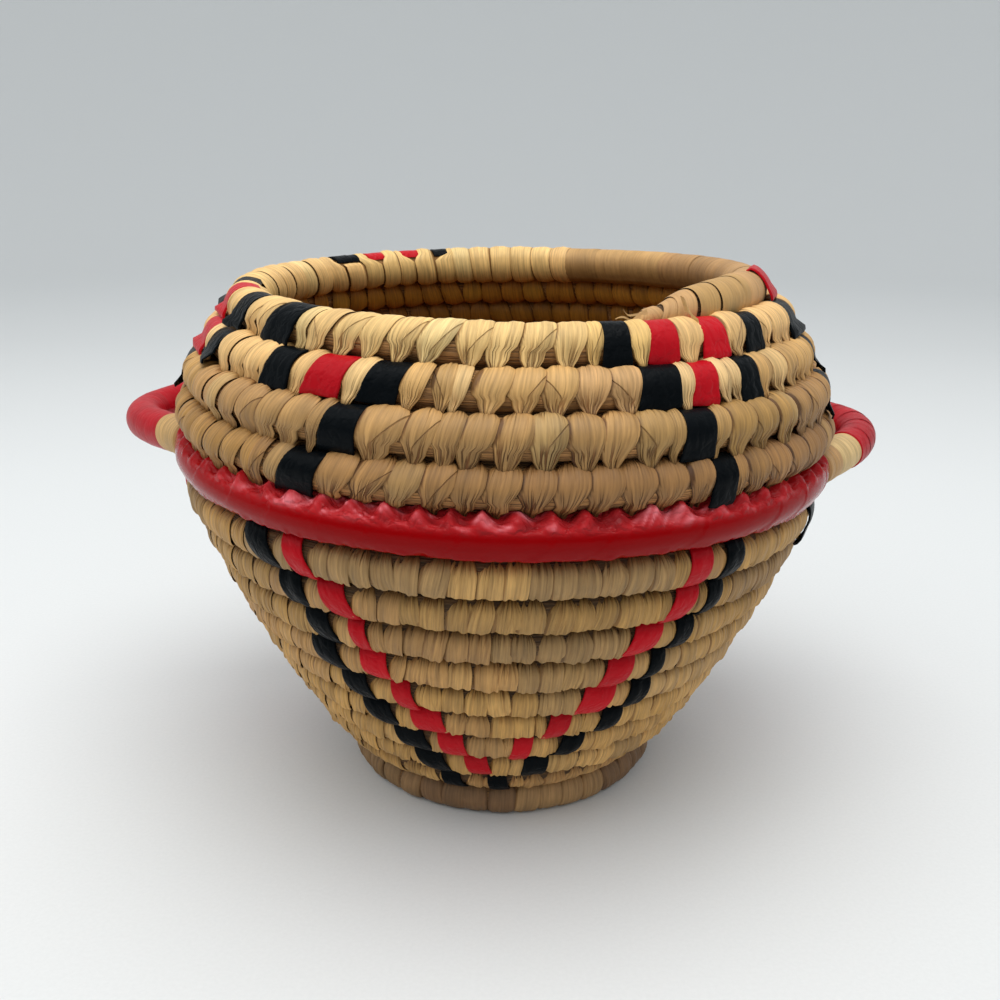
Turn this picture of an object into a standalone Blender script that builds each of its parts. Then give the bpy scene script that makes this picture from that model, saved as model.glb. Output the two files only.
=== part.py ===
"""A coiled basket with a red belt, two loop handles and zigzag lines of black and red stitches.

Metres, +Z up. The origin is on the floor, midway between the outer sides of the two handles. The front
is at -Y, and the handles are on the left (-X) and the right (+X).

The basket is one long coil laid round and round, so its pieces are lengths of one path. A place on the
path is its course number: a whole number lies at the front, and the coil climbs by one course in each
turn, clockwise as seen from above.
"""

import math

import bmesh
import bpy
import numpy as np
from mathutils import Vector

# The coil, which is a little thinner low down, and the clearance between pieces that touch
COIL_THICKNESS = 0.0109
THIN_SHARE = 0.95
THIN_COURSE = 3
FULL_COURSE = 6.5
COURSE_GAP = 0.0003
SEAT_GAP = 0.0003

# Base and foot
BASE_RADIUS = 0.0488
START_RADIUS = 0.0062
KNOT_CLEARANCE = 0.0006
FOOT_RADIUS = 0.0440
FOOT_THICKNESS = 0.0114
FOOT_FLAT_WIDTH = 0.0050

# Courses, counted from the base's outermost one, which is course 0
WALL_COURSES = 9
SHOULDER_COURSES = 4

# How far the wall leans out from upright, in degrees; a shoulder leans in, so its values are negative
FLAT_LEAN = 90.0
WALL_LEAN_LOW = 34.1
WALL_LEAN_MIDDLE = 25.8
BELT_LEAN = 19.6
SHOULDER_LEAN = -9.5
NECK_LEAN = -34.0
RIM_LEAN = -48.0

# The end of the coil on the rim, as angles from the front towards the right, in degrees
TAIL_TAPER_ANGLE = 60.0
TAIL_END_ANGLE = 27.0
TAIL_END_SHARE = 0.20
TAIL_TAPER_POWER = 0.55
TIP_ANGLE = 23.0
TIP_THICKNESS = 0.0020

# Handles: middle of each loop and half its span in degrees round the wall, how far it stands out from
# the belt, and how far its middle lies above the belt
LEFT_HANDLE_ANGLE = 108.0
LEFT_HANDLE_REACH = 0.0322
LEFT_HANDLE_RISE = -0.0040
RIGHT_HANDLE_ANGLE = -102.0
RIGHT_HANDLE_REACH = 0.0238
RIGHT_HANDLE_RISE = 0.0012
HANDLE_HALF_SPAN = 33.0
HANDLE_THICKNESS = 0.0110
HANDLE_START_SHARE = 0.115
LEFT_ROOT_SHARE = 0.215
RIGHT_ROOT_SHARE = 0.25

# Zigzag lines of coloured stitches
ZIGZAGS = 4
STITCH_WIDTH = 0.0066
STRIP_THICKNESS = 0.0005
STRIP_CLEARANCE = 0.0003
STITCH_SWEEP = 52.0
APEX_OFFSET = 0.0060
APEX_SHIFT = 0.0056
APEX_SHIFT_STEP = 0.0018
WALL_STEP = 0.0066
RED_OFFSET = 0.0120
SHOULDER_LINE_START = 0.0500
SHOULDER_STEP = 0.0087
SHOULDER_LINE_COURSES = 3

# Facets
TURN_SEGMENTS = 30
FOOT_SEGMENTS = 32
FOOT_PROFILE_POINTS = 9
HANDLE_SEGMENTS = 22
END_STEP_SHARE = 0.05
KNOT_SEGMENTS = 16
KNOT_RINGS = 8
STITCH_ROWS = 4

# Values that follow from those above
COIL_RADIUS = COIL_THICKNESS / 2
WALL_MIDDLE_COURSE = WALL_COURSES // 2 + 1
BELT_COURSE = WALL_COURSES
RIM_COURSE = BELT_COURSE + SHOULDER_COURSES
TAIL_TAPER_COURSE = RIM_COURSE + 1 - TAIL_TAPER_ANGLE / 360
TAIL_END_COURSE = RIM_COURSE + 1 - TAIL_END_ANGLE / 360
TIP_COURSE = RIM_COURSE + 1 - TIP_ANGLE / 360
FOOT_SECTION_RADIUS = FOOT_THICKNESS / 2
FOOT_CENTRE_HEIGHT = math.sqrt(FOOT_SECTION_RADIUS**2 - (FOOT_FLAT_WIDTH / 2) ** 2)
BASE_HEIGHT = FOOT_CENTRE_HEIGHT + FOOT_SECTION_RADIUS + SEAT_GAP + COIL_RADIUS * THIN_SHARE
BASE_PITCH = COIL_THICKNESS * THIN_SHARE + COURSE_GAP
START_COURSE = -(BASE_RADIUS - START_RADIUS) / BASE_PITCH
AXIS_X = (
    LEFT_HANDLE_REACH * math.sin(math.radians(LEFT_HANDLE_ANGLE))
    + RIGHT_HANDLE_REACH * math.sin(math.radians(RIGHT_HANDLE_ANGLE))
) / 2
LEAN_STATIONS = (
    (0, FLAT_LEAN),
    (1, WALL_LEAN_LOW),
    (WALL_MIDDLE_COURSE, WALL_LEAN_MIDDLE),
    (BELT_COURSE, BELT_LEAN),
    (BELT_COURSE + 1, SHOULDER_LEAN),
    (BELT_COURSE + 2, SHOULDER_LEAN),
    (BELT_COURSE + 3, NECK_LEAN),
    (RIM_COURSE, NECK_LEAN),
    (RIM_COURSE + 1, RIM_LEAN),
)

# Colour, roughness and metallic value of each material
PALM = ((0.62, 0.45, 0.25), 0.60, 0.0)
DARK_PALM = ((0.40, 0.27, 0.14), 0.70, 0.0)
FIBRE_CORE = ((0.16, 0.08, 0.03), 0.85, 0.0)
RED_PLASTIC = ((0.52, 0.02, 0.03), 0.30, 0.0)
BLACK_PLASTIC = ((0.012, 0.016, 0.020), 0.32, 0.0)


def clear_scene():
    for obj in list(bpy.data.objects):
        bpy.data.objects.remove(obj, do_unlink=True)


def new_collection(name, hidden=False):
    collection = bpy.data.collections.new(name)
    collection.hide_render = hidden
    bpy.context.scene.collection.children.link(collection)
    return collection


def new_material(name, look):
    colour, roughness, metallic = look
    material = bpy.data.materials.new(name)
    material.use_nodes = True
    shader = material.node_tree.nodes["Principled BSDF"]
    shader.inputs["Base Color"].default_value = (*colour, 1.0)
    shader.inputs["Roughness"].default_value = roughness
    shader.inputs["Metallic"].default_value = metallic
    material.diffuse_color = (*colour, 1.0)
    return material


def place(name, data, collection, material=None):
    """A new object that holds this data, in this collection."""
    obj = bpy.data.objects.new(name, data)
    if material is not None:
        data.materials.append(material)
    collection.objects.link(obj)
    return obj


# The path of the coil


def wall_lean(course):
    """The wall's lean out from upright at this course, in radians."""
    stations, leans = zip(*LEAN_STATIONS)
    return math.radians(np.interp(course, stations, leans))


def coil_share(course):
    """The coil's thickness here as a share of its full one."""
    return float(np.interp(course, (THIN_COURSE, FULL_COURSE), (THIN_SHARE, 1.0)))


def coil_centre(course, share=None):
    """(radius, height) of the coil's centre line, which touches the course below but for the gap.

    share is the thickness of the course that is placed, where it isn't the coil's own.
    """
    if course <= 0:
        return BASE_RADIUS + BASE_PITCH * course, BASE_HEIGHT
    radius, height = coil_centre(course - 1)
    own_share = coil_share(course) if share is None else share
    step = COIL_RADIUS * (coil_share(course - 1) + own_share) + COURSE_GAP
    lean = wall_lean(course)
    return radius + step * math.sin(lean), height + step * math.cos(lean)


def around(radius, angle, height):
    """The point at this radius and height, at an angle in radians from the front towards the left."""
    return Vector((AXIS_X - radius * math.sin(angle), -radius * math.cos(angle), height))


def coil_point(course, share=None):
    radius, height = coil_centre(course, share)
    return around(radius, 2 * math.pi * course, height)


def tail_share(course):
    """The coil's thickness here as a share of its full one: 1 until the taper, then less and less."""
    progress = (course - TAIL_TAPER_COURSE) / (TIP_COURSE - TAIL_TAPER_COURSE)
    if progress <= 0:
        return 1.0
    return max((1 - progress) ** TAIL_TAPER_POWER, TAIL_END_SHARE)


# Tubes along the path


def new_tube(name, points, thickness, collection, material, shares=None, tilts=None):
    """A round bar along these points, with flat closed ends and eight sides."""
    curve = bpy.data.curves.new(name, "CURVE")
    curve.dimensions = "3D"
    curve.twist_mode = "Z_UP"
    curve.bevel_depth = thickness / 2
    curve.bevel_resolution = 2
    curve.use_fill_caps = True
    spline = curve.splines.new("POLY")
    spline.points.add(len(points) - 1)
    for index, point in enumerate(points):
        spline.points[index].co = (*point, 1.0)
        spline.points[index].radius = shares[index] if shares else 1.0
        spline.points[index].tilt = tilts[index] if tilts else 0.0
    return place(name, curve, collection, material)


def square_ended(first, inner, last, step):
    """These places with a short step at each end, so that the end faces are square to the path."""
    stub = END_STEP_SHARE * step
    return [first, first + stub, *inner, last - stub, last]


def courses_between(first, last, per_turn):
    """Places from first to last on the grid that splits each turn in equal parts, both ends included."""
    margin = 2 * END_STEP_SHARE
    low = math.ceil(first * per_turn + margin)
    high = math.floor(last * per_turn - margin)
    inner = [index / per_turn for index in range(low, high + 1)]
    return square_ended(first, inner, last, 1 / per_turn)


def trimmed(first, last):
    """The same stretch of coil, shorter at each end by half of the clearance between pieces."""
    first_turn = 2 * math.pi * coil_centre(first)[0]
    last_turn = 2 * math.pi * coil_centre(last)[0]
    return first + SEAT_GAP / 2 / first_turn, last - SEAT_GAP / 2 / last_turn


def coil_piece(name, first, last, collection, material):
    """A length of the coil. A corner of its section points along the wall, at the courses beside it."""
    places = courses_between(*trimmed(first, last), TURN_SEGMENTS)
    points = [coil_point(course) for course in places]
    shares = [coil_share(course) for course in places]
    tilts = [wall_lean(course) for course in places]
    return new_tube(name, points, COIL_THICKNESS, collection, material, shares, tilts)


def solid_from_tube(tube, collection):
    """The tube as a mesh object of the same name, with its end caps joined to its sides."""
    graph = bpy.context.evaluated_depsgraph_get()
    mesh = bpy.data.meshes.new_from_object(tube.evaluated_get(graph))
    shape = bmesh.new()
    shape.from_mesh(mesh)
    bmesh.ops.remove_doubles(shape, verts=shape.verts, dist=1e-6)
    shape.to_mesh(mesh)
    shape.free()
    name = tube.name
    matrix = tube.matrix_world.copy()
    bpy.data.objects.remove(tube, do_unlink=True)
    obj = place(name, mesh, collection)
    obj.name = name
    obj.matrix_world = matrix
    return obj


# Base and foot


def build_start_knot(collection, material):
    """The tight start of the coil, a round knot in the hole that the first turn leaves."""
    near = coil_centre(START_COURSE)[0] - COIL_RADIUS * THIN_SHARE
    far = coil_centre(START_COURSE + 0.5)[0] - COIL_RADIUS * THIN_SHARE
    shape = bmesh.new()
    bmesh.ops.create_uvsphere(
        shape, u_segments=KNOT_SEGMENTS, v_segments=KNOT_RINGS, radius=(near + far) / 2 - KNOT_CLEARANCE
    )
    mesh = bpy.data.meshes.new("base_start_knot")
    shape.to_mesh(mesh)
    shape.free()
    mesh.shade_smooth()
    knot = place("base_start_knot", mesh, collection, material)
    knot.location = around((near - far) / 2, 2 * math.pi * START_COURSE, BASE_HEIGHT)


def build_foot_ring(collection, material):
    """A closed ring of coil, pressed flat underneath where the basket stands on it."""
    half_flat = math.asin(FOOT_FLAT_WIDTH / 2 / FOOT_SECTION_RADIUS)
    top_to_flat = math.pi - half_flat
    shape = bmesh.new()
    ring = []
    for index in range(FOOT_PROFILE_POINTS):
        turn = -top_to_flat + 2 * top_to_flat * index / (FOOT_PROFILE_POINTS - 1)
        ring.append(
            shape.verts.new(
                (
                    FOOT_RADIUS + FOOT_SECTION_RADIUS * math.sin(turn),
                    0.0,
                    FOOT_CENTRE_HEIGHT + FOOT_SECTION_RADIUS * math.cos(turn),
                )
            )
        )
    for vertex, following in zip(ring, ring[1:] + ring[:1]):
        shape.edges.new((vertex, following))
    mesh = bpy.data.meshes.new("foot_ring")
    shape.to_mesh(mesh)
    shape.free()
    foot = place("foot_ring", mesh, collection, material)
    foot.location.x = AXIS_X
    screw = foot.modifiers.new("turned", "SCREW")
    screw.steps = FOOT_SEGMENTS
    screw.render_steps = FOOT_SEGMENTS
    screw.use_merge_vertices = True
    screw.merge_threshold = 0.0001
    screw.use_smooth_shade = True


def build_base(collection, palm, dark_palm):
    build_start_knot(collection, dark_palm)
    coil_piece("base_spiral", START_COURSE, -0.5, collection, palm)
    build_foot_ring(collection, dark_palm)


# Wall, belt, shoulder and rim


def build_courses(collection, palm, red):
    """One piece for each turn, from back to back, so that its middle is at the front."""
    for number in range(WALL_COURSES):
        coil_piece(f"wall_course_{number + 1}", number - 0.5, number + 0.5, collection, palm)
    coil_piece("red_belt_course", BELT_COURSE - 0.5, BELT_COURSE + 0.5, collection, red)
    for number in range(SHOULDER_COURSES):
        course = BELT_COURSE + 1 + number
        coil_piece(f"shoulder_course_{number + 1}", course - 0.5, course + 0.5, collection, palm)


def build_tail(collection, palm, core):
    """The last part of the coil, which thins out on the rim, and the bare core at its end."""
    first, last = trimmed(RIM_COURSE + 0.5, TAIL_END_COURSE)
    places = courses_between(first, last, 2 * TURN_SEGMENTS)
    shares = [tail_share(course) for course in places]
    points = [coil_point(course, share) for course, share in zip(places, shares)]
    tilts = [wall_lean(course) for course in places]
    new_tube("rim_tail", points, COIL_THICKNESS, collection, palm, shares, tilts)
    first, last = trimmed(TAIL_END_COURSE, TIP_COURSE)
    places = courses_between(first, last, 4 * TURN_SEGMENTS)
    points = [coil_point(course, TIP_THICKNESS / COIL_THICKNESS) for course in places]
    new_tube("rim_tail_core_tip", points, TIP_THICKNESS, collection, core)


# Handles


def handle_point(loop, share):
    """A point of the loop, which bows out from the belt's centre line and comes back to it."""
    angle, reach, rise = loop
    here = math.radians(angle + HANDLE_HALF_SPAN * (2 * share - 1))
    radius, height = coil_centre(BELT_COURSE + here / (2 * math.pi))
    bow = math.sin(math.pi * share) ** 2
    return around(radius + reach * bow, here, height + rise * bow)


def handle_piece(name, loop, first, last, collection, material):
    """The loop's stretch between these two shares of its span."""
    low = min(first, last)
    span = abs(last - first)
    count = max(4, round(HANDLE_SEGMENTS * span))
    length = 2 * math.radians(HANDLE_HALF_SPAN) * coil_centre(BELT_COURSE)[0]
    trim = SEAT_GAP / 2 / length
    inner = [low + span * index / count for index in range(1, count)]
    shares = square_ended(low + trim, inner, low + span - trim, span / count)
    points = [handle_point(loop, share) for share in shares]
    return new_tube(name, points, HANDLE_THICKNESS, collection, material)


def build_belt_cutter(cutters):
    """The belt course with the clearance round it, which seats the handles' ends on the belt."""
    places = courses_between(*trimmed(BELT_COURSE - 0.5, BELT_COURSE + 0.5), TURN_SEGMENTS)
    points = [coil_point(course) for course in places]
    tilts = [wall_lean(course) for course in places]
    tube = new_tube("belt_cutter", points, COIL_THICKNESS + 2 * SEAT_GAP, cutters, None, tilts=tilts)
    cutter = solid_from_tube(tube, cutters)
    cutter.hide_render = True
    cutter.display_type = "WIRE"
    return cutter


def build_handle(side, loop, root_share, collection, cutter, palm, red):
    """A red grip between two roots, whose ends are shaped to the belt. The front one is bare palm."""
    front_is_low = loop[0] > 0
    roots = {
        "front": (HANDLE_START_SHARE, root_share),
        "back": (1 - root_share, 1 - HANDLE_START_SHARE),
    }
    if not front_is_low:
        roots = {"front": roots["back"], "back": roots["front"]}
    for end, (first, last) in roots.items():
        wrap = palm if end == "front" else red
        tube = handle_piece(f"{side}_handle_{end}_root", loop, first, last, collection, wrap)
        root = solid_from_tube(tube, collection)
        seat = root.modifiers.new("seat on belt", "BOOLEAN")
        seat.operation = "DIFFERENCE"
        seat.solver = "EXACT"
        seat.object = cutter
    handle_piece(f"{side}_handle_grip", loop, root_share, 1 - root_share, collection, red)


# Zigzag lines of coloured stitches


def outward_and_up(course):
    """Unit vectors (radius, height) across and along the wall at this course."""
    below = Vector(coil_centre(course - 1))
    above = Vector(coil_centre(course + 1))
    up = (above - below).normalized()
    return Vector((up.y, -up.x)), up


def stitch_line(name, courses, zigzag_angle, arc_at, collection, material):
    """A line of stitches, one on each course, that step sideways and hook into each other.

    Each stitch is a strip bent over the outer side of its course. arc_at gives its distance along the
    course from the front of its zigzag, towards the left.
    """
    half_row = math.radians(STITCH_SWEEP) / (STITCH_ROWS - 1)
    shape = bmesh.new()
    rows = []
    for course in courses:
        radius = coil_centre(course)[0]
        middle = zigzag_angle + math.degrees(arc_at(course) / radius)
        half = math.degrees(STITCH_WIDTH / 2 / radius)
        stand = (COIL_RADIUS * coil_share(course) + STRIP_CLEARANCE) / math.cos(half_row)
        for row in range(STITCH_ROWS):
            sweep = math.radians(STITCH_SWEEP * (1 - 2 * row / (STITCH_ROWS - 1)))
            pair = []
            for angle in (middle + half, middle - half):
                wrapped = (angle + 180) % 360 - 180
                here = course + wrapped / 360
                outward, up = outward_and_up(here)
                centre = Vector(coil_centre(here))
                point = centre + stand * (math.cos(sweep) * outward + math.sin(sweep) * up)
                pair.append(shape.verts.new(around(point.x, math.radians(wrapped), point.y)))
            rows.append(pair)
    for upper, lower in zip(rows, rows[1:]):
        shape.faces.new((upper[0], lower[0], lower[1], upper[1]))
    mesh = bpy.data.meshes.new(name)
    shape.to_mesh(mesh)
    shape.free()
    line = place(name, mesh, collection, material)
    thick = line.modifiers.new("strip", "SOLIDIFY")
    thick.thickness = STRIP_THICKNESS
    thick.offset = 1.0


def build_zigzags(collection, black, red):
    """On the wall the lines run down and together to a point; on the shoulder they run up and together."""
    first_shoulder = BELT_COURSE + 1
    wall = range(BELT_COURSE - 1, 0, -1)
    shoulder = range(first_shoulder + SHOULDER_LINE_COURSES - 1, first_shoulder - 1, -1)

    def shift(course):
        return max(APEX_SHIFT - APEX_SHIFT_STEP * course, 0)

    for number in range(ZIGZAGS):
        angle = (number * 360 / ZIGZAGS + 180) % 360 - 180
        for side, word in ((1, "left"), (-1, "right")):

            def black_arc(course):
                return shift(course) + side * (APEX_OFFSET + WALL_STEP * course)

            def red_arc(course):
                return black_arc(course) - side * RED_OFFSET

            def shoulder_arc(course):
                return side * (SHOULDER_LINE_START - SHOULDER_STEP * (course - first_shoulder))

            tag = f"{number + 1}_{word}"
            red_wall = wall if side > 0 else wall[:-1]
            stitch_line(f"wall_black_line_{tag}", wall, angle, black_arc, collection, black)
            stitch_line(f"wall_red_line_{tag}", red_wall, angle, red_arc, collection, red)
            stitch_line(f"shoulder_black_line_{tag}", shoulder, angle, shoulder_arc, collection, black)


def main():
    clear_scene()
    basket = new_collection("coiled_basket")
    cutters = new_collection("cutters", hidden=True)
    palm = new_material("palm_strip", PALM)
    dark_palm = new_material("dark_palm_strip", DARK_PALM)
    core = new_material("fibre_core", FIBRE_CORE)
    red = new_material("red_plastic", RED_PLASTIC)
    black = new_material("black_plastic", BLACK_PLASTIC)
    build_base(basket, palm, dark_palm)
    build_courses(basket, palm, red)
    build_tail(basket, palm, core)
    cutter = build_belt_cutter(cutters)
    left_loop = (LEFT_HANDLE_ANGLE, LEFT_HANDLE_REACH, LEFT_HANDLE_RISE)
    right_loop = (RIGHT_HANDLE_ANGLE, RIGHT_HANDLE_REACH, RIGHT_HANDLE_RISE)
    build_handle("left", left_loop, LEFT_ROOT_SHARE, basket, cutter, palm, red)
    build_handle("right", right_loop, RIGHT_ROOT_SHARE, basket, cutter, palm, red)
    build_zigzags(basket, black, red)


main()
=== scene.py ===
"""The look of the coiled basket: palm strips over a fibre coil, plastic stitches, belt and handles.

Metres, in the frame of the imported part. The coil's path repeats the part's own sizes. A place on the coil
is its course number: a whole number is at the front, and the coil climbs by one course in each turn. Round
the coil's section, an angle of 0 is the outer side, 90 the side towards the course above and 180 the inner
side.
"""

import math

import bpy
import numpy as np
from mathutils import Matrix, Vector


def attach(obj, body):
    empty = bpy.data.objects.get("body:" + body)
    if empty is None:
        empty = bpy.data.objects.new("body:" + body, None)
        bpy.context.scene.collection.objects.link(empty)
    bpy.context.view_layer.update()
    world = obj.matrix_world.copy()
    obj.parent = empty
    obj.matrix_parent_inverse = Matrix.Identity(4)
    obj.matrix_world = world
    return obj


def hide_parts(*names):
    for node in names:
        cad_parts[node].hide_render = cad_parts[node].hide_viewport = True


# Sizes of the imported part
COIL_THICKNESS = 0.0109
THIN_SHARE = 0.95
THIN_COURSE = 3
FULL_COURSE = 6.5
COURSE_GAP = 0.0003
SEAT_GAP = 0.0003
BASE_RADIUS = 0.0488
START_RADIUS = 0.0062
FOOT_RADIUS = 0.0440
FOOT_THICKNESS = 0.0114
FOOT_FLAT_WIDTH = 0.0050
FLOOR_GAP = 0.0001
# Courses, and how far the step to the next course leans outwards there, in degrees from upright
LEAN_STATIONS = (
    (0, 90.0), (1, 34.1), (5, 25.8), (9, 19.6), (10, -9.5), (11, -9.5), (12, -34.0), (13, -34.0), (14, -48.0),
)
BELT_COURSE = 9
RIM_COURSE = 13
TAIL_TAPER_COURSE = RIM_COURSE + 1 - 60.0 / 360
TAIL_END_COURSE = RIM_COURSE + 1 - 27.0 / 360
TIP_COURSE = RIM_COURSE + 1 - 23.0 / 360
TAIL_TAPER_POWER = 0.55
TAIL_END_SHARE = 0.20
# Each handle's angle round the basket, its reach out from the belt and its rise
HANDLES = {"left": (108.0, 0.0322, -0.0040), "right": (-102.0, 0.0238, 0.0012)}
# How much of a handle's loop is the root at either end
ROOT_SHARES = {"left": 0.215, "right": 0.25}
HANDLE_HALF_SPAN = 33.0
# How far the grip's red wraps reach over the roots, as a share of the loop
RED_REACH = {"left": 0.05, "right": 0.0}
HANDLE_THICKNESS = 0.0110

# Strips
CORE_RADIUS = 0.0050
STRIP_RADIUS = 0.0055
SHOULDER_PITCH = 0.0074
WALL_PITCH = 0.0057
FOOT_PITCH = 0.0067
MILLIMETRES = 1000.0

# Values that follow from those above
COIL_RADIUS = COIL_THICKNESS / 2
BASE_PITCH = COIL_THICKNESS * THIN_SHARE + COURSE_GAP
START_COURSE = -(BASE_RADIUS - START_RADIUS) / BASE_PITCH
FOOT_SECTION_RADIUS = FOOT_THICKNESS / 2
FOOT_CENTRE_HEIGHT = math.sqrt(FOOT_SECTION_RADIUS**2 - (FOOT_FLAT_WIDTH / 2) ** 2)
BASE_HEIGHT = FOOT_CENTRE_HEIGHT + FOOT_SECTION_RADIUS + SEAT_GAP + COIL_RADIUS * THIN_SHARE
AXIS_X = sum(reach * math.sin(math.radians(angle)) for angle, reach, rise in HANDLES.values()) / 2

# The path of the coil, as a table with this many steps in a turn
STEPS = 360
LAST_TABLE_COURSE = 16


def coil_table():
    """Courses with the radius and height of the centre line, and its outward and upward directions."""
    first = math.floor((START_COURSE - 1.5) * STEPS)
    courses = np.arange(first, LAST_TABLE_COURSE * STEPS + 1) / STEPS
    radius = BASE_RADIUS + BASE_PITCH * courses
    height = np.full(len(courses), BASE_HEIGHT)
    stations, leans = zip(*LEAN_STATIONS)
    lean = np.radians(np.interp(courses, stations, leans))
    share = np.interp(courses, (THIN_COURSE, FULL_COURSE), (THIN_SHARE, 1.0))
    for k in range(-first + 1, len(courses)):
        step = COIL_RADIUS * (share[k - STEPS] + share[k]) + COURSE_GAP
        radius[k] = radius[k - STEPS] + step * math.sin(lean[k])
        height[k] = height[k - STEPS] + step * math.cos(lean[k])
    up = np.zeros((len(courses), 2))
    up[STEPS:-STEPS, 0] = radius[2 * STEPS :] - radius[: -2 * STEPS]
    up[STEPS:-STEPS, 1] = height[2 * STEPS :] - height[: -2 * STEPS]
    up[:STEPS] = up[STEPS]
    up[-STEPS:] = up[-STEPS - 1]
    up /= np.linalg.norm(up, axis=1, keepdims=True)
    return {"course": courses, "radius": radius, "height": height, "up": up, "share": share}


TABLE = coil_table()


def along_table(name, course):
    """The radius, height or share of the full thickness there."""
    return np.interp(course, TABLE["course"], TABLE[name])


def turn_metres(course):
    """The length of one turn of the coil there."""
    return 2 * np.pi * along_table("radius", course)


def turns_from_front(course):
    """How far round the basket a place is: from -0.5 to 0.5 of a turn, positive to the left."""
    return (course + 0.5) % 1 - 0.5


def axes_at(course):
    """Components (radius, height) of the upward and outward directions."""
    up_r = np.interp(course, TABLE["course"], TABLE["up"][:, 0])
    up_z = np.interp(course, TABLE["course"], TABLE["up"][:, 1])
    return up_r, up_z, up_z, -up_r


def around_axis(radius, angle, height):
    """Points at this distance from the basket's axis, with the angle from the front round to the left."""
    return np.stack([AXIS_X - radius * np.sin(angle), -radius * np.cos(angle), height], -1)


def coil_place(course, out, up):
    """Points at these distances outwards and upwards from the coil's centre line."""
    up_r, up_z, out_r, out_z = axes_at(course)
    radius = along_table("radius", course) + out * out_r + up * up_r
    height = along_table("height", course) + out * out_z + up * up_z
    return around_axis(radius, 2 * np.pi * course, height)


def foot_place(turn, out, up):
    """The same round the foot ring, which is pressed flat on the floor."""
    height = np.maximum(FOOT_CENTRE_HEIGHT + up, FLOOR_GAP)
    return around_axis(FOOT_RADIUS + out, 2 * np.pi * turn, height)


# Small tools for smooth random shapes


def eased(part):
    """A share from 0 to 1 that starts and ends gently."""
    return part * part * (3 - 2 * part)


def mixed(first, second, share):
    """The first where share is 0, and the second where it is 1."""
    return first * (1 - share) + second * share


def smooth_random(rng, count, knots, samples):
    """Smooth random functions from -1 to 1: one row each, at evenly spaced samples."""
    values = rng.uniform(-1, 1, (count, knots))
    place = np.linspace(0, knots - 1.001, samples)
    low = place.astype(int)
    return mixed(values[:, low], values[:, low + 1], eased(place - low))


def wander(rng, places, spacing):
    """Smooth random values from -1 to 1 along these places, with about this spacing between swings."""
    low = places.min()
    count = int((places.max() - low) / spacing) + 3
    values = rng.uniform(-1, 1, count)
    place = (places - low) / spacing
    index = np.floor(place).astype(int)
    return mixed(values[index], values[index + 1], eased(place - index))


def step_up(value, low, high):
    """0 below low, 1 above high and a gentle rise between them."""
    return eased(np.clip((value - low) / (high - low), 0, 1))


def band(value, low, top, fall, end):
    """0 outside low to end, and 1 from top to fall."""
    return step_up(value, low, top) * (1 - step_up(value, fall, end))


def bell(value, middle, spread):
    """1 in the middle, and down to 0 on both sides."""
    return np.exp(-(((value - middle) / spread) ** 2))


def linear(*levels):
    """A linear colour from sRGB levels of 0 to 255."""
    share = np.array(levels) / 255
    return np.where(share <= 0.04045, share / 12.92, ((share + 0.055) / 1.055) ** 2.4)


# Meshes


def new_object(name, mesh, material, *nodes, slot):
    """Adds a piece that stands for these CAD nodes."""
    obj = bpy.data.objects.new(name, mesh)
    bpy.context.scene.collection.objects.link(obj)
    mesh.materials.append(material)
    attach(obj, "root")
    if nodes:
        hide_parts(*nodes)


def grid_mesh(name, points, fibre, tint, pleat=None, fold=None, round_section=False):
    """A mesh of sheets: points are (sheets, rows, columns, 3), fibre (u, v) in millimetres, tint a colour.

    pleat says from 0 to 1 how far the strip is gathered there, and fold is 0 along a sharp fold.
    """
    sheets, rows, columns = points.shape[:3]
    index = np.arange(sheets * rows * columns).reshape(sheets, rows, columns)
    if round_section:
        index = np.concatenate([index, index[:, :1]], axis=1)
    corner = (index[:, :-1, :-1], index[:, 1:, :-1], index[:, 1:, 1:], index[:, :-1, 1:])
    faces = np.stack(corner, -1).reshape(-1, 4)
    mesh = bpy.data.meshes.new(name)
    mesh.vertices.add(points.size // 3)
    mesh.vertices.foreach_set("co", points.astype(np.float32).ravel())
    mesh.loops.add(faces.size)
    mesh.loops.foreach_set("vertex_index", faces.astype(np.int32).ravel())
    mesh.polygons.add(len(faces))
    mesh.polygons.foreach_set("loop_start", np.arange(0, faces.size, 4, dtype=np.int32))
    mesh.polygons.foreach_set("use_smooth", np.ones(len(faces), bool))
    mesh.update(calc_edges=True)
    layer = mesh.uv_layers.new(name="fibre")
    layer.data.foreach_set("uv", fibre.reshape(-1, 2)[faces.ravel()].astype(np.float32).ravel())
    colour = mesh.attributes.new("tint", "FLOAT_COLOR", "POINT")
    full = np.concatenate([tint.reshape(-1, 3), np.ones((tint.size // 3, 1))], 1)
    colour.data.foreach_set("color", full.astype(np.float32).ravel())
    for word, values, usual in (("pleat", pleat, 0.0), ("fold", fold, 1.0)):
        if values is None:
            values = np.full(points.shape[:3], usual)
        layer = mesh.attributes.new(word, "FLOAT", "POINT")
        layer.data.foreach_set("value", values.astype(np.float32).ravel())
    mesh.validate()
    return mesh


# Materials


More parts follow.
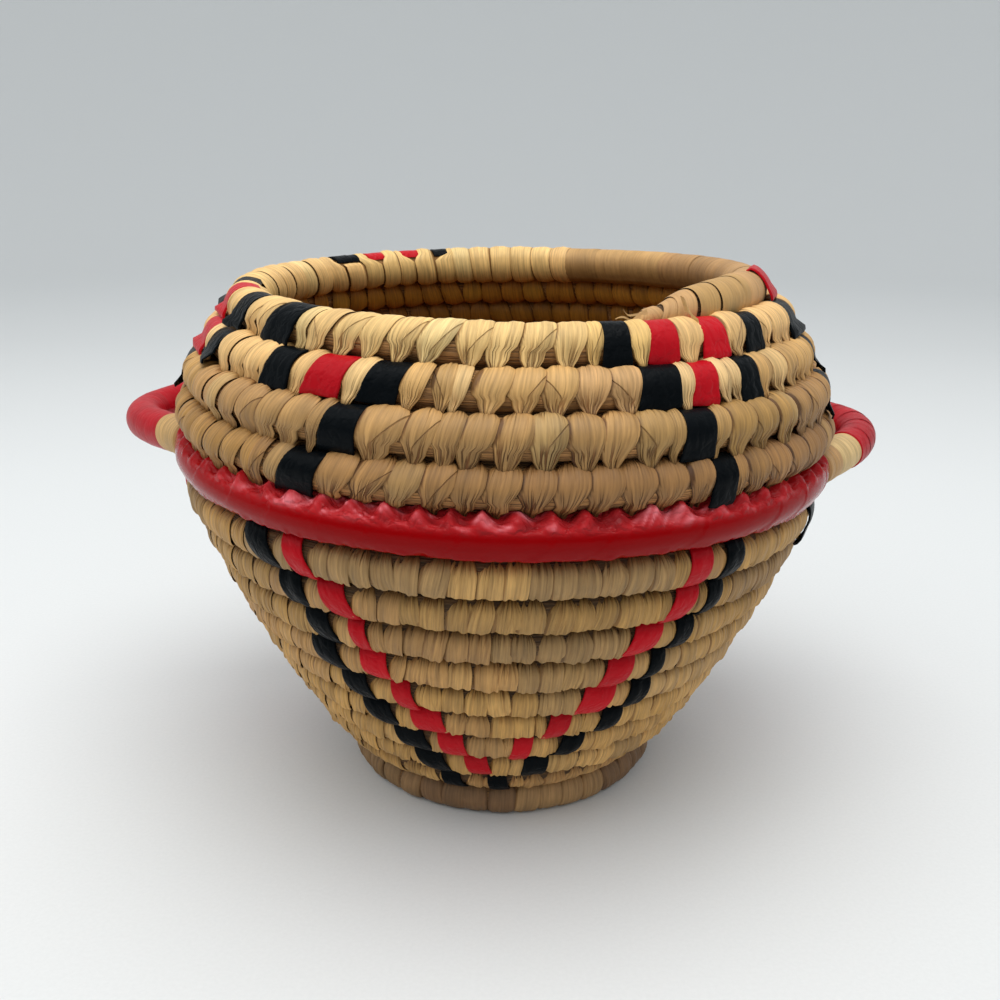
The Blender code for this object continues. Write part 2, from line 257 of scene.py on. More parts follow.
class Look:
    """A material's nodes. Each method adds some and gives their output."""

    def __init__(self, name, roughness):
        self.material = bpy.data.materials.new(name)
        self.material.use_nodes = True
        self.tree = self.material.node_tree
        self.surface(Roughness=roughness)

    def connect(self, node, inputs):
        """Sets a node's inputs to values or to the outputs of other nodes."""
        for socket, value in inputs.items():
            if isinstance(value, bpy.types.NodeSocket):
                self.tree.links.new(value, node.inputs[socket])
            else:
                node.inputs[socket].default_value = value

    def node(self, kind, inputs, **settings):
        node = self.tree.nodes.new("ShaderNode" + kind)
        for setting, value in settings.items():
            setattr(node, setting, value)
        self.connect(node, inputs)
        return node

    def surface(self, **inputs):
        """Sets the surface's inputs. Their names have _ for a space here."""
        shader = self.tree.nodes["Principled BSDF"]
        self.connect(shader, {word.replace("_", " "): value for word, value in inputs.items()})

    def attribute(self, name, output="Fac"):
        return self.node("Attribute", {}, attribute_name=name).outputs[output]

    def maths(self, operation, *values):
        return self.node("Math", dict(enumerate(values)), operation=operation).outputs[0]

    def vectors(self, operation, inputs):
        return self.node("VectorMath", inputs, operation=operation).outputs["Vector"]

    def scaled(self, colour, share):
        return self.vectors("SCALE", {0: colour, "Scale": share})

    def sheet_place(self, across, along):
        """The sheet's own coordinates, stretched so that a pattern runs lengthwise."""
        place = self.node("UVMap", {}, uv_map="fibre").outputs["UV"]
        return self.vectors("MULTIPLY", {0: place, 1: (across, along, 1.0)})

    def noise(self, place, scale, detail):
        inputs = {"Vector": place, "Scale": scale, "Detail": detail, "Roughness": 0.55}
        return self.node("TexNoise", inputs).outputs["Fac"]

    def fibres(self, across, along, detail):
        return self.noise(self.sheet_place(across, along), 1.0, detail)

    def ramp(self, value, low, high, start=0.0, end=1.0):
        """The value stretched from (start, end) to (low, high)."""
        inputs = {"Value": value, "From Min": start, "From Max": end, "To Min": low, "To Max": high}
        return self.node("MapRange", inputs).outputs["Result"]

    def bump(self, height, distance, strength, below=None):
        """A bump on top of the one below it."""
        inputs = {"Height": height, "Distance": distance, "Strength": strength}
        if below is not None:
            inputs["Normal"] = below
        return self.node("Bump", inputs).outputs["Normal"]


# Painted shade in a pleat's line: how much red, green and blue it leaves, so the shade is brown
LINE_SHADE_LEVELS = (0.40, 0.25, 0.13)


def palm_material(name, contrast=0.8, ribs=1.0):
    """Split palm leaf: fine lengthwise fibres, painted shade in the pleats where it is gathered and along
    sharp folds, and a soft satin sheen.
    """
    look = Look(name, 0.58)
    fine = look.fibres(1.9, 0.07, 3.0)
    broad = look.fibres(0.8, 0.05, 2.0)
    blotch = look.fibres(0.25, 0.12, 3.0)
    from_pleat = look.maths("ABSOLUTE", look.maths("SUBTRACT", look.fibres(0.75, 0.045, 1.0), 0.5))
    pleat_line = look.ramp(from_pleat, 1.0, 0.0, 0.004, 0.042)
    pleat_line = look.maths("MULTIPLY", pleat_line, look.attribute("pleat"))
    beside_fold = look.attribute("fold")
    fold_line = look.ramp(look.maths("ABSOLUTE", beside_fold), 0.7, 0.0, 0.0, 0.07)
    depth = look.maths("MAXIMUM", pleat_line, fold_line)
    # Painted shade: the side of a fold that lies below is a little darker
    fold_side_shade = look.ramp(beside_fold, 0.86, 1.0, -0.05, 0.02)
    fine_share = look.ramp(fine, 1.0 - 0.38 * contrast, 1.0 + 0.22 * contrast, 0.3, 0.7)
    broad_share = look.ramp(broad, 1.0 - 0.17 * contrast, 1.0 + 0.12 * contrast, 0.3, 0.7)
    share = look.maths("MULTIPLY", fine_share, broad_share)
    blotches = look.ramp(blotch, 0.88, 1.10, 0.3, 0.7)
    share = look.maths("MULTIPLY", share, look.maths("MULTIPLY", blotches, fold_side_shade))
    # Painted shade: the lines of pleats and folds darken the leaf to brown
    levels = {socket: look.ramp(depth, 1.0, level) for socket, level in enumerate(LINE_SHADE_LEVELS)}
    lines = look.node("CombineXYZ", levels).outputs["Vector"]
    colour = look.vectors("MULTIPLY", {0: look.scaled(look.attribute("tint", "Color"), share), 1: lines})
    relief = look.bump(broad, 0.0005, 0.7 * ribs)
    relief = look.bump(look.maths("SUBTRACT", 1.0, depth), 0.0004, 1.0, relief)
    relief = look.bump(fine, 0.00022, 0.9 * ribs, relief)
    sheen = look.ramp(broad, 0.48, 0.68)
    look.surface(Base_Color=colour, Roughness=sheen, Normal=relief, Specular_IOR_Level=0.40)
    return look.material


def core_material():
    """Bare foundation fibres: brown stems that run along the coil, with painted shade in the gaps between
    them.
    """
    look = Look("core_fibre", 0.8)
    stems = look.fibres(1.9, 0.05, 2.0)
    fine = look.fibres(5.0, 0.2, 2.0)
    # Painted shade in the gaps between the stems
    gaps = look.ramp(stems, 0.42, 1.12, 0.38, 0.58)
    share = look.maths("MULTIPLY", gaps, look.ramp(fine, 0.80, 1.15, 0.3, 0.7))
    colour = look.scaled(look.attribute("tint", "Color"), share)
    look.surface(Base_Color=colour, Normal=look.bump(stems, 0.0012, 1.0))
    return look.material


def plastic_material(name, roughness, crumple, gloss, mottle):
    """Soft plastic strip: a smooth film with creases and a slightly worn gloss."""
    look = Look(name, roughness)
    wobble = look.fibres(0.30, 0.30, 2.0)
    moved = look.vectors("ADD", {0: look.sheet_place(1.0, 0.5), 1: look.scaled(wobble, 3.0)})
    creases = look.node("TexVoronoi", {"Vector": moved, "Scale": 0.42}, feature="DISTANCE_TO_EDGE")
    fine = look.fibres(1.6, 0.6, 3.0)
    tone = look.ramp(wobble, 1.0 - 0.12 * mottle, 1.0 + 0.10 * mottle, 0.3, 0.7)
    creased = look.maths("MULTIPLY", creases.outputs["Distance"], look.attribute("pleat"))
    relief = look.bump(creased, 0.0012, crumple)
    relief = look.bump(wobble, 0.0016, 0.25 * mottle, relief)
    worn = look.ramp(fine, roughness - 0.06, roughness + 0.10, 0.3, 0.7)
    colour = look.scaled(look.attribute("tint", "Color"), tone)
    look.surface(Base_Color=colour, Roughness=worn, Normal=relief, IOR=gloss)
    return look.material


# Colours of the strips
TAN = linear(203, 158, 103)
STRAW = linear(220, 177, 114)
PALE_STRAW = linear(232, 198, 138)
GREY_TAN = linear(182, 148, 102)
YELLOW_TAN = linear(206, 163, 98)
BROWN_TAN = linear(160, 120, 80)
CORE_BROWN = linear(176, 128, 76)
# Painted shade inside the basket: how much red, green and blue the coil's inner side keeps
INSIDE_SHADE_TONE = np.array((0.66, 0.48, 0.14))
RED = linear(190, 12, 27)
BELT_RED = linear(149, 0, 4)
HANDLE_RED = linear(178, 10, 26)
BLACK = linear(9, 13, 16)


def palm_colours(rng, count, palette, shares, run=5):
    """One colour for each strip. Neighbours come from one leaf, so they stay alike for a run of strips."""
    colours = np.zeros((count, 3))
    index = 0
    while index < count:
        length = int(rng.integers(2, 2 * run))
        pick = palette[rng.choice(len(palette), p=shares)]
        other = palette[rng.choice(len(palette), p=shares)]
        mix = rng.uniform(0, 0.35)
        colours[index : index + length] = pick * (1 - mix) + other * mix
        index += length
    odd = rng.random(count) < 0.10
    colours[odd] = palette[-1] * 0.5 + colours[odd] * 0.5
    return colours * rng.uniform(0.88, 1.10, (count, 1))


# Strips on the coil

# Columns of points across a strip
ACROSS = 25
COLUMNS = np.linspace(-1, 1, ACROSS)
# The half width of a narrow fold, as a share of the strip's half width
LINE_SPREAD = 0.085
# Shaded leaf turns browner: the powers of the shade for red, green and blue
SHADE_WARMTH = np.array((0.85, 1.05, 1.35))


class Strips:
    """A set of strips bent round the coil, all with the same rows.

    facing is each row's angle round the section. outs and ups are its distances from the centre line, and
    shares its width as a share of the strip's own. Each is (strips, rows).
    """

    def __init__(self, rng, courses, widths, facing, outs, ups, shares):
        self.rng = rng
        self.courses = courses
        self.widths = widths
        self.count = len(courses)
        self.facing = np.broadcast_to(facing, outs.shape)
        self.outs = outs
        self.ups = ups
        self.shares = np.broadcast_to(shares, outs.shape)
        self.across = COLUMNS
        self.sway = np.zeros(outs.shape)
        self.lift = np.zeros((*outs.shape, ACROSS))
        self.slide = np.zeros((*outs.shape, ACROSS))
        # How far a row faces into the basket, where its colour gets painted shade
        self.inside = step_up(-np.cos(self.facing), 0.0, 0.35)
        self.shade = np.ones((*outs.shape, ACROSS))
        self.pleat = np.zeros(outs.shape)
        self.fold = np.ones((*outs.shape, ACROSS))

    def each(self, low, high):
        """A random value for each strip."""
        return self.rng.uniform(low, high, (self.count, 1, 1))

    def waves_across(self, knots):
        return smooth_random(self.rng, self.count, knots, ACROSS)[:, None, :]

    def waves_along(self, knots):
        return smooth_random(self.rng, self.count, knots, self.outs.shape[1])[:, :, None]

    def folds(self, strength):
        """Lengthwise folds, which grow where strength (rows) does."""
        height = np.zeros((self.count, 1, ACROSS))
        for waves in (1.6, 2.7, 3.9):
            phase = self.each(0, 2 * np.pi)
            height = height + self.each(0.4, 1.0) * np.sin(waves * np.pi * COLUMNS + phase)
        return height * np.reshape(strength, (1, -1, 1)) / 2

    def fold_lines(self, lines):
        """How deep each column lies in one of a few narrow folds, from 0 to 1: (strips, 1, columns)."""
        depth = np.zeros((self.count, 1, ACROSS))
        for _ in range(lines):
            middle = self.each(-0.8, 0.8)
            depth = np.maximum(depth, self.each(0.0, 1.0) * bell(COLUMNS, middle, LINE_SPREAD))
        return depth

    def points(self, place, turn):
        """The strips' points. turn is the path's length in metres for each unit of its own values."""
        if turn is None:
            turn = turn_metres(self.courses)
        half = self.widths[:, None, None] / 2
        aside = half * (self.shares[:, :, None] * self.across + 2 * self.sway[:, :, None])
        course = self.courses[:, None, None] + aside / np.reshape(turn, (-1, 1, 1))
        facing = self.facing[:, :, None]
        out = self.outs[:, :, None] + self.lift * np.cos(facing) - self.slide * np.sin(facing)
        up = self.ups[:, :, None] + self.lift * np.sin(facing) + self.slide * np.cos(facing)
        return place(course, out, up)

    def fibre(self, points):
        """Millimetres across and along each strip, with a start of its own for each."""
        middle = points[:, :, ACROSS // 2]
        step = np.linalg.norm(np.diff(middle, axis=1), axis=2)
        along = np.concatenate([np.zeros((self.count, 1)), np.cumsum(step, axis=1)], 1)
        start = self.rng.uniform(0, 500, (self.count, 2))
        u = self.widths[:, None, None] / 2 * self.across * MILLIMETRES + start[:, :1, None]
        v = along[:, :, None] * MILLIMETRES + start[:, 1:, None]
        u, v = np.broadcast_arrays(u, v)
        return np.stack([u, v], -1)

    def piece(self, name, colours, material, *nodes, slot, place=coil_place, turn=None):
        """Makes one piece of the strips, which stands for these CAD nodes."""
        points = self.points(place, turn)
        # Painted shade on the side that faces into the basket
        inside_shaded = 1 - self.inside[:, :, None, None] * (1 - INSIDE_SHADE_TONE)
        tint = colours[:, None, None, :] * self.shade[..., None] ** SHADE_WARMTH * inside_shaded
        pleat = np.broadcast_to(self.pleat[:, :, None], self.shade.shape)
        mesh = grid_mesh(name, points, self.fibre(points), tint, pleat, self.fold)
        new_object(name, mesh, material, *nodes, slot=slot)


# Nearer the basket's axis than this, the strips keep their spacing in degrees
START_RADIUS_KEPT = 0.006


def spaced_courses(rng, first, last, pitch, spread=0.16):
    """Strip middles from first to last, about a pitch apart."""
    courses = []
    here = first
    while True:
        radius = max(float(along_table("radius", here)), START_RADIUS_KEPT)
        here += pitch * (1 + rng.uniform(-spread, spread)) / (2 * math.pi * radius)
        if here > last:
            return np.array(courses)
        courses.append(here)


def widths_between(courses):
    """Each strip's share of the course: half the way to its neighbours on both sides."""
    gaps = np.diff(courses)
    gaps = np.concatenate([gaps[:1], gaps, gaps[-1:]])
    return (gaps[:-1] + gaps[1:]) / 2 * 2 * np.pi * along_table("radius", courses)


# How far a strip moves towards the gap between the tips above it
MOVE_TO_GAP = 0.62


def between_tips(courses):
    """The courses, each moved towards the gap between two strips of the turn above it."""
    moved = courses.copy()
    for index in range(len(courses) - 1, -1, -1):
        above = courses[index] + 1
        if above > moved[-1]:
            continue
        right = np.searchsorted(moved, above)
        if right >= len(moved) or right == 0:
            continue
        gap = (moved[right - 1] + moved[right]) / 2 - 1
        moved[index] += MOVE_TO_GAP * (gap - courses[index])
    return np.sort(moved)


# A strip with less of its width left than this goes under the stitch, into the core
MIN_LEFT = 0.35
HIDDEN_RADIUS = 0.85 * CORE_RADIUS


def make_room(courses, widths, stitches):
    """How strips give way to plastic stitches: each one's shift and share of its width, and if it sinks."""
    half = widths / 2 / turn_metres(courses)
    low = courses - half
    high = courses + half
    for here, width in stitches[:, :2]:
        reach = width / 2 / (2 * np.pi * (along_table("radius", here) + COIL_RADIUS))
        near, far = here - reach, here + reach
        touched = (high > near) & (low < far)
        before = touched & (courses <= here)
        after = touched & (courses > here)
        high[before] = np.minimum(high[before], np.maximum(near, low[before]))
        low[after] = np.maximum(low[after], np.minimum(far, high[after]))
    left = (high - low) / (2 * half)
    sunk = left < MIN_LEFT
    for index in np.flatnonzero(sunk & (left > 0)):
        other = index + 1 if low[index] > courses[index] - half[index] else index - 1
        if 0 <= other < len(courses) and not sunk[other]:
            low[other] = min(low[other], low[index])
            high[other] = max(high[other], high[index])
    shift = ((low + high) / 2 - courses) / (2 * half)
    share = (high - low) / (2 * half)
    return np.where(sunk, 0, shift), np.where(sunk, 1.0, share), sunk.astype(float)


def give_way(strips, angles, room):
    """Applies make_room's result to the outer rows. A strip wholly under a stitch goes into the core."""
    shift, share, sunk = (values[:, None] for values in room)
    outer = (1 - step_up(angles, 84, 104))[None, :]
    strips.shares = strips.shares * (1 + (share - 1) * outer)
    strips.sway = strips.sway + shift * outer
    reach = np.minimum(1, HIDDEN_RADIUS / np.hypot(strips.outs, strips.ups))
    drawn_in = 1 - sunk * outer * (1 - reach)
    strips.outs = strips.outs * drawn_in
    strips.ups = strips.ups * drawn_in
    strips.lift = strips.lift * (1 - sunk * outer)[:, :, None]


def arc_rows(angles, radius):
    """Rows at these angles in degrees: their facing, and their distances outwards and upwards."""
    angles = np.radians(np.asarray(angles, float))
    return angles, radius * np.cos(angles), radius * np.sin(angles)


def below_centre(courses):
    """Where the course below lies in this course's own axes: distances outwards and upwards."""
    radius = along_table("radius", courses - 1) - along_table("radius", courses)
    height = along_table("height", courses - 1) - along_table("height", courses)
    up_r, up_z, out_r, out_z = axes_at(courses)
    return radius * out_r + height * out_z, radius * up_r + height * up_z


def tip_rows(courses, stages, radius):
    """Rows of a tip that bridges the valley and goes into the course below.

    Each stage is an angle round the section of the course below and a share of the radius there, as single
    values or one for each strip.
    """
    low_out, low_up = below_centre(courses)
    length = np.hypot(low_out, low_up)
    toward_out, toward_up = -low_out / length, -low_up / length
    outs = []
    ups = []
    for angle, share in stages:
        turn = np.radians(angle)
        side = radius * share * np.cos(turn)
        rise = radius * share * np.sin(turn)
        outs.append(low_out + side * toward_up + rise * toward_out)
        ups.append(low_up - side * toward_out + rise * toward_up)
    return np.stack(outs, 1), np.stack(ups, 1)


def contact_shade(strips, under, over):
    """Darker where a strip goes under its neighbour at the far side, and a little along its near edge."""
    place = strips.across * strips.shares[:, :, None]
    edge = np.minimum(strips.shares, 2 - strips.shares)[:, :, None]
    far = 1 - under * step_up(place, edge - 0.13, edge - 0.02)
    near = 1 - over * step_up(-place, strips.shares[:, :, None] - 0.08, strips.shares[:, :, None])
    return far * near


def edge_shade(across, depth_low, depth_high):
    """Darker towards the edges: depth_low at -1 and depth_high at 1."""
    low = 1 - depth_low * step_up(-across, 0.80, 1.0)
    high = 1 - depth_high * step_up(across, 0.78, 1.0)
    return low * high


# Shoulder

# Angles of the rows that go round the course, from its lower side up and over to the inner side
SHOULDER_LOW = (-40, -28, -16, -4, 8, 20, 32, 44, 54, 63, 72, 82)
SHOULDER_HIGH = (95, 110, 130, 150, 170, 190, 210, 228, 245)
SHOULDER_ARC = SHOULDER_LOW + SHOULDER_HIGH
# The rows' widths: where the tips below are apart or close together, on a covered course or on the rim
HIGH_WIDE = (0.72, 0.78, 0.9, 1.05, 1.05, 1.05, 0.95, 0.75, 0.5)
UPPER_WIDE = (1.19, 1.19, 1.18, 1.14, 1.06, 0.95, 0.84, 0.74) + HIGH_WIDE
OPEN_WIDE = np.array((0.84, 1.00, 1.10, 1.16) + UPPER_WIDE)
CLOSED_WIDE = np.array((0.98, 1.09, 1.15, 1.18) + UPPER_WIDE)
UPPER_RIM_WIDE = (1.17,) * 7 + (1.16, 1.15, 1.14, 1.12, 1.10, 1.08, 0.95, 0.75, 0.5)
OPEN_RIM_WIDE = np.array((0.82, 0.96, 1.06, 1.13, 1.16) + UPPER_RIM_WIDE)
CLOSED_RIM_WIDE = np.array((0.90, 1.02, 1.10, 1.15, 1.17) + UPPER_RIM_WIDE)
# The rows of a tip: angle round the course below and share of the radius there, then widths
TIP_STAGES = ((53, 0.74), (47, 0.97), (53.5, 1.17), (60, 1.36))
BELT_TIP_STAGES = ((78, 0.80), (75, 1.03), (70, 1.14), (64, 1.32))
CLOSED_TIP_STAGES = ((72, 0.70), (66, 0.95), (67.5, 1.13), (66, 1.34))
TIP_ROWS = len(TIP_STAGES)
TIP_WIDE = np.array((0.24, 0.32, 0.45, 0.66))
CLOSED_TIP_WIDE = np.array((0.90, 1.00, 1.06, 1.10))
# How much a tip's width varies from strip to strip, which way its rows face and how shaded they are
TIP_VARIES = np.array((1.0, 1.0, 0.7, 0.4))
TIP_FACING = (-40, -15, -12, -25)
TIP_SHADE = (0.25, 0.55, 0.88, 0.98)
# How far below the arc the tip's rows are: in millimetres, and as heights for the slant
TIP_DOWN = (4.0, 2.8, 1.8, 0.9)
TIP_HEIGHTS = (-1.25, -1.15, -1.0, -0.85)
RIM_OPEN_COURSE = TAIL_END_COURSE - 1
# Red, green and blue levels of the leaf on the four courses, from the lowest up: its own colour, with painted
# light
# Painted light: the courses are lighter towards the rim, where more light falls from above
SHOULDER_TONES_AND_LIGHT = np.array(((0.60, 0.53, 0.44), (0.77, 0.74, 0.64), (1.08, 1.07, 1.10), (1.63, 1.78, 1.79)))
# How light the leaf is round the shoulder, at angles in degrees that are positive to the left: partly paler
# leaf
# and partly painted light on the sides where more light falls, most on the left
SHOULDER_ROUND_TONE_AND_LIGHT = (
    (-180, 1.0), (-80, 1.12), (-40, 1.08), (0, 1.0), (40, 1.12), (75, 1.35), (110, 1.1), (180, 1.0),
)


def closed_share(courses):
    """0 at the front, where the tips are far apart, and up to 1 at the left, where they stand close."""
    turned = turns_from_front(courses)
    left = step_up(turned, 0.06, 0.14)
    right = step_up(-turned, 0.14, 0.22)
    return np.clip(left + 0.6 * right, 0, 1)


# Angles in degrees round the basket, positive to the left, and how far the strips slant there
SLANTS = (
    (-180, 0.15), (-100, 0.02), (-60, 0.02), (-15, 0.10), (15, 0.20), (60, 0.28), (100, 0.28), (180, 0.15),
)


def round_basket(courses, stations):
    """A value at these places from a table of angles from the front and values there."""
    return np.interp(360 * turns_from_front(courses), *zip(*stations))


# A slanting fold: millimetres down the strip where it starts and how far it runs, and its height in metres
FOLD_START = 4
FOLD_RUN = 9
FOLD_HEIGHT = 0.00030
FOLDED_SHARE = 0.45


def slanting_fold(strips, down):
    """Some strips are folded over once, on a line that slants down to the tip.

    down is each row's distance from the strip's top in millimetres. Gives the place beside the fold's line,
    as a share of the half width, and the lift of the part that lies on top.
    """
    folded = strips.rng.random((strips.count, 1, 1)) < FOLDED_SHARE
    side = strips.rng.choice((-1, 1), (strips.count, 1, 1))
    start = strips.each(1.1, 1.6)
    end = strips.each(-0.5, 0.3)
    progress = ((down - FOLD_START) / FOLD_RUN)[None, :, None]
    away = (start + (end - start) * progress) - side * COLUMNS
    away = np.where(folded, away, 1.0)
    lift = FOLD_HEIGHT * folded * (1 / (1 + np.exp(-away / 0.10)) - 0.5)
    return away, lift


def shoulder_rows(courses, closed, on_belt, uneven):
    """The rows' facing and their distances outwards and upwards: first the tip's, then those of the arc."""
    stages = []
    for stage in zip(TIP_STAGES, BELT_TIP_STAGES, CLOSED_TIP_STAGES):
        values = []
        for usual, low, side in zip(*stage):
            front = usual + on_belt * (low - usual)
            values.append(front + closed * (side - front))
        stages.append([values[0] + uneven, values[1]])
    outs_tip, ups_tip = tip_rows(courses, stages, STRIP_RADIUS)
    facing, outs, ups = arc_rows(SHOULDER_ARC, STRIP_RADIUS)
    shape = (len(courses), len(outs))
    outs = np.concatenate([outs_tip, np.broadcast_to(outs, shape)], 1)
    ups = np.concatenate([ups_tip, np.broadcast_to(ups, shape)], 1)
    return np.concatenate([np.radians(TIP_FACING), facing]), outs, ups


def shoulder_shares(rng, angles, closed, on_belt, open_top):
    """The rows' widths as shares of the strip's own. On the belt the lower end is drawn in."""
    covered = mixed(OPEN_WIDE, CLOSED_WIDE, closed)
    rim = mixed(OPEN_RIM_WIDE, CLOSED_RIM_WIDE, closed)
    narrow = rng.uniform(0.80, 1.30, (len(closed), 1))
    tips = TIP_WIDE * (1 + (narrow - 1) * TIP_VARIES)
    tips = tips + closed * (CLOSED_TIP_WIDE - tips)
    shares = np.concatenate([tips, mixed(covered, rim, open_top)], 1)
    below = step_up(-angles, -12, 40)
    below[:TIP_ROWS] = 0
    return shares * (1 - 0.26 * (on_belt * (1 - closed)) * below)


def raise_shoulder(strips, gather, closed):
    """The strips' relief: folds and narrow lines where they are gathered, and a rounded back.

    Each strip lies lower at its far side, which goes under the next one. Gives the depth of the lines.
    """
    across = strips.across
    strips.lift += strips.folds(0.00022) * (strips.shares * (0.35 + gather))[:, :, None]
    lines = strips.fold_lines(4) * np.clip(1.8 * gather - 0.12, 0, 1.3)[:, :, None]
    strips.lift -= 0.00040 * np.clip(lines, 0, 1)
    strips.lift[:, :2] *= 0.5
    round_top = 0.80 - np.abs(across) ** 2.4
    flat_top = 0.85 - np.abs(across) ** 5
    rounded = (0.35 + 0.65 * closed)[:, :, None]
    strips.lift += 0.00085 * rounded * round_top + 0.00045 * (1 - rounded) * flat_top
    strips.lift += strips.each(-0.00012, 0.00018)
    strips.lift -= strips.each(0.00022, 0.00040) * across * (1 - 0.6 * gather)[:, :, None]
    down = STRIP_RADIUS * MILLIMETRES * np.radians(90 - np.array(SHOULDER_ARC))
    down = np.concatenate([down[0] + np.array(TIP_DOWN), down])
    strips.fold, crease = slanting_fold(strips, down)
    strips.lift += crease
    return np.clip(lines, 0, 1)


def shoulder_strips(rng, courses, widths, room):
    """On the shoulder a strip is gathered at its lower end, which goes into the course below."""
    count = len(courses)
    closed = closed_share(courses)
    uneven = rng.normal(0, 1.5, count)
    on_belt = 1 - step_up(courses, BELT_COURSE + 1.45, BELT_COURSE + 1.55)
    facing, outs, ups = shoulder_rows(courses, closed, on_belt, uneven)
    closed = closed[:, None]
    open_top = step_up(courses, RIM_OPEN_COURSE - 0.01, RIM_OPEN_COURSE)[:, None]
    angles = np.degrees(facing)
    shares = shoulder_shares(rng, angles, closed, on_belt[:, None], open_top)
    strips = Strips(rng, courses, widths, facing, outs, ups, shares)
    front = (angles < 100)[None, :] * np.ones((count, 1))
    gather = np.clip(1.25 - shares, 0, 1) * front
    pleat = np.clip(0.18 * front + 1.9 * (gather - 0.12), 0.08, 1) * rng.uniform(0.4, 1.0, (count, 1))
    low_course = 1 - step_up(courses, BELT_COURSE + 2.4, BELT_COURSE + 2.6)[:, None]
    strips.pleat = np.clip(pleat * (1 + 0.6 * low_course), 0, 1)
    lines = raise_shoulder(strips, gather, closed)
    # Near the top, between two strips of the course above, a strip swells like a petal
    between = step_up(angles, 28, 62) * (angles < 100) * (1 - open_top)
    petal = 1 - 1.3 * np.abs(strips.across) ** 1.8
    strips.lift += 0.00030 * between[:, :, None] * petal
    lean = rng.normal(0, 0.05, (count, 1)) + round_basket(courses, SLANTS)[:, None]
    height = np.sin(facing)
    height[:TIP_ROWS] = TIP_HEIGHTS
    low = height < -0.5
    strips.sway = -lean * height + rng.normal(0, 0.05, (count, 1)) * low
    shade = np.ones(len(facing))
    shade[:TIP_ROWS] = TIP_SHADE
    strips.shade *= shade[None, :, None] * contact_shade(strips, 0.76, 0.22)
    strips.shade *= 1 - 0.40 * (step_up(angles, 56, 74) * between)[:, :, None]
    strips.shade *= 1 - 0.60 * lines
    strips.inside = strips.inside * (1 - 0.75 * open_top)
    give_way(strips, angles, room)
    return strips


# Two strips of one course are at least this far apart, as a share of a turn
MIN_STEP = 0.0035


def shoulder_positions(rng):
    """The courses of the shoulder's strips, each near the gap between two strips of the course above."""
    courses = spaced_courses(rng, BELT_COURSE + 0.5, RIM_COURSE + 0.56, SHOULDER_PITCH, spread=0.14)
    courses = between_tips(courses)
    keep = np.concatenate([[True], np.diff(courses) > MIN_STEP])
    return courses[keep]


# Wall and base

# The rows of a wall strip, from below the ragged lower edge over the outside to the inner side: their angles,
# their distances from the coil's centre in millimetres, their widths as shares, and their shades
WALL_OUTER = (-84, -72, -60, -50, -43, -38, -33, -27, -18, -6, 6, 18, 28, 37, 46, 55, 66, 80)
WALL_INNER = (102, 116, 132, 150, 170, 190, 210, 228, 245, 262)
WALL_ARC = WALL_OUTER + WALL_INNER
OUTER_LOW_RADIUS = (4.9, 5.0, 5.15, 5.35, 5.75, 6.1, 6.12, 6.0, 5.8, 5.65, 5.55)
OUTER_RADIUS = OUTER_LOW_RADIUS + (5.5, 5.5, 5.5, 5.45, 5.3, 5.1, 4.95)
INNER_RADIUS = (4.95, 5.1, 5.4, 5.5, 5.5, 5.5, 5.5, 5.4, 5.1, 4.8)
WALL_RADIUS = np.array(OUTER_RADIUS + INNER_RADIUS)
OUTER_WIDE = (1.0, 1.0, 1.02, 1.06, 1.10, 1.13) + (1.14,) * 6 + (1.13, 1.10, 1.05, 0.98, 0.89, 0.80)
INNER_WIDE = (0.65, 0.75, 0.95, 1.05, 1.05, 1.05, 1.0, 0.85, 0.7, 0.5)
WALL_WIDE = np.array(OUTER_WIDE + INNER_WIDE)
OUTER_SHADE = (0.2, 0.22, 0.25, 0.30, 0.42, 0.95) + (1.0,) * 7 + (0.98, 0.94, 0.84, 0.66, 0.45)
INNER_SHADE = (0.5, 0.75, 0.9, 0.9, 0.9, 0.9, 0.85, 0.7, 0.55, 0.4)
WALL_SHADE = np.array(OUTER_SHADE + INNER_SHADE)
# On the course under the belt the leaf changes colour in spans of some strips: the angles of their sides
TOP_COURSE_SPANS = ((GREY_TAN, 8.5, 44), (STRAW, -3.0, 8.5), (GREY_TAN, -27, -3.0))
# Red, green and blue levels of the wall's leaf, and how light it is on each course, from the lowest up
WALL_HUE = np.array((1.05, 0.99, 0.84))
WALL_TONES = (0.92, 0.93, 0.94, 0.94, 0.94, 0.90, 0.79, 0.74, 0.86)


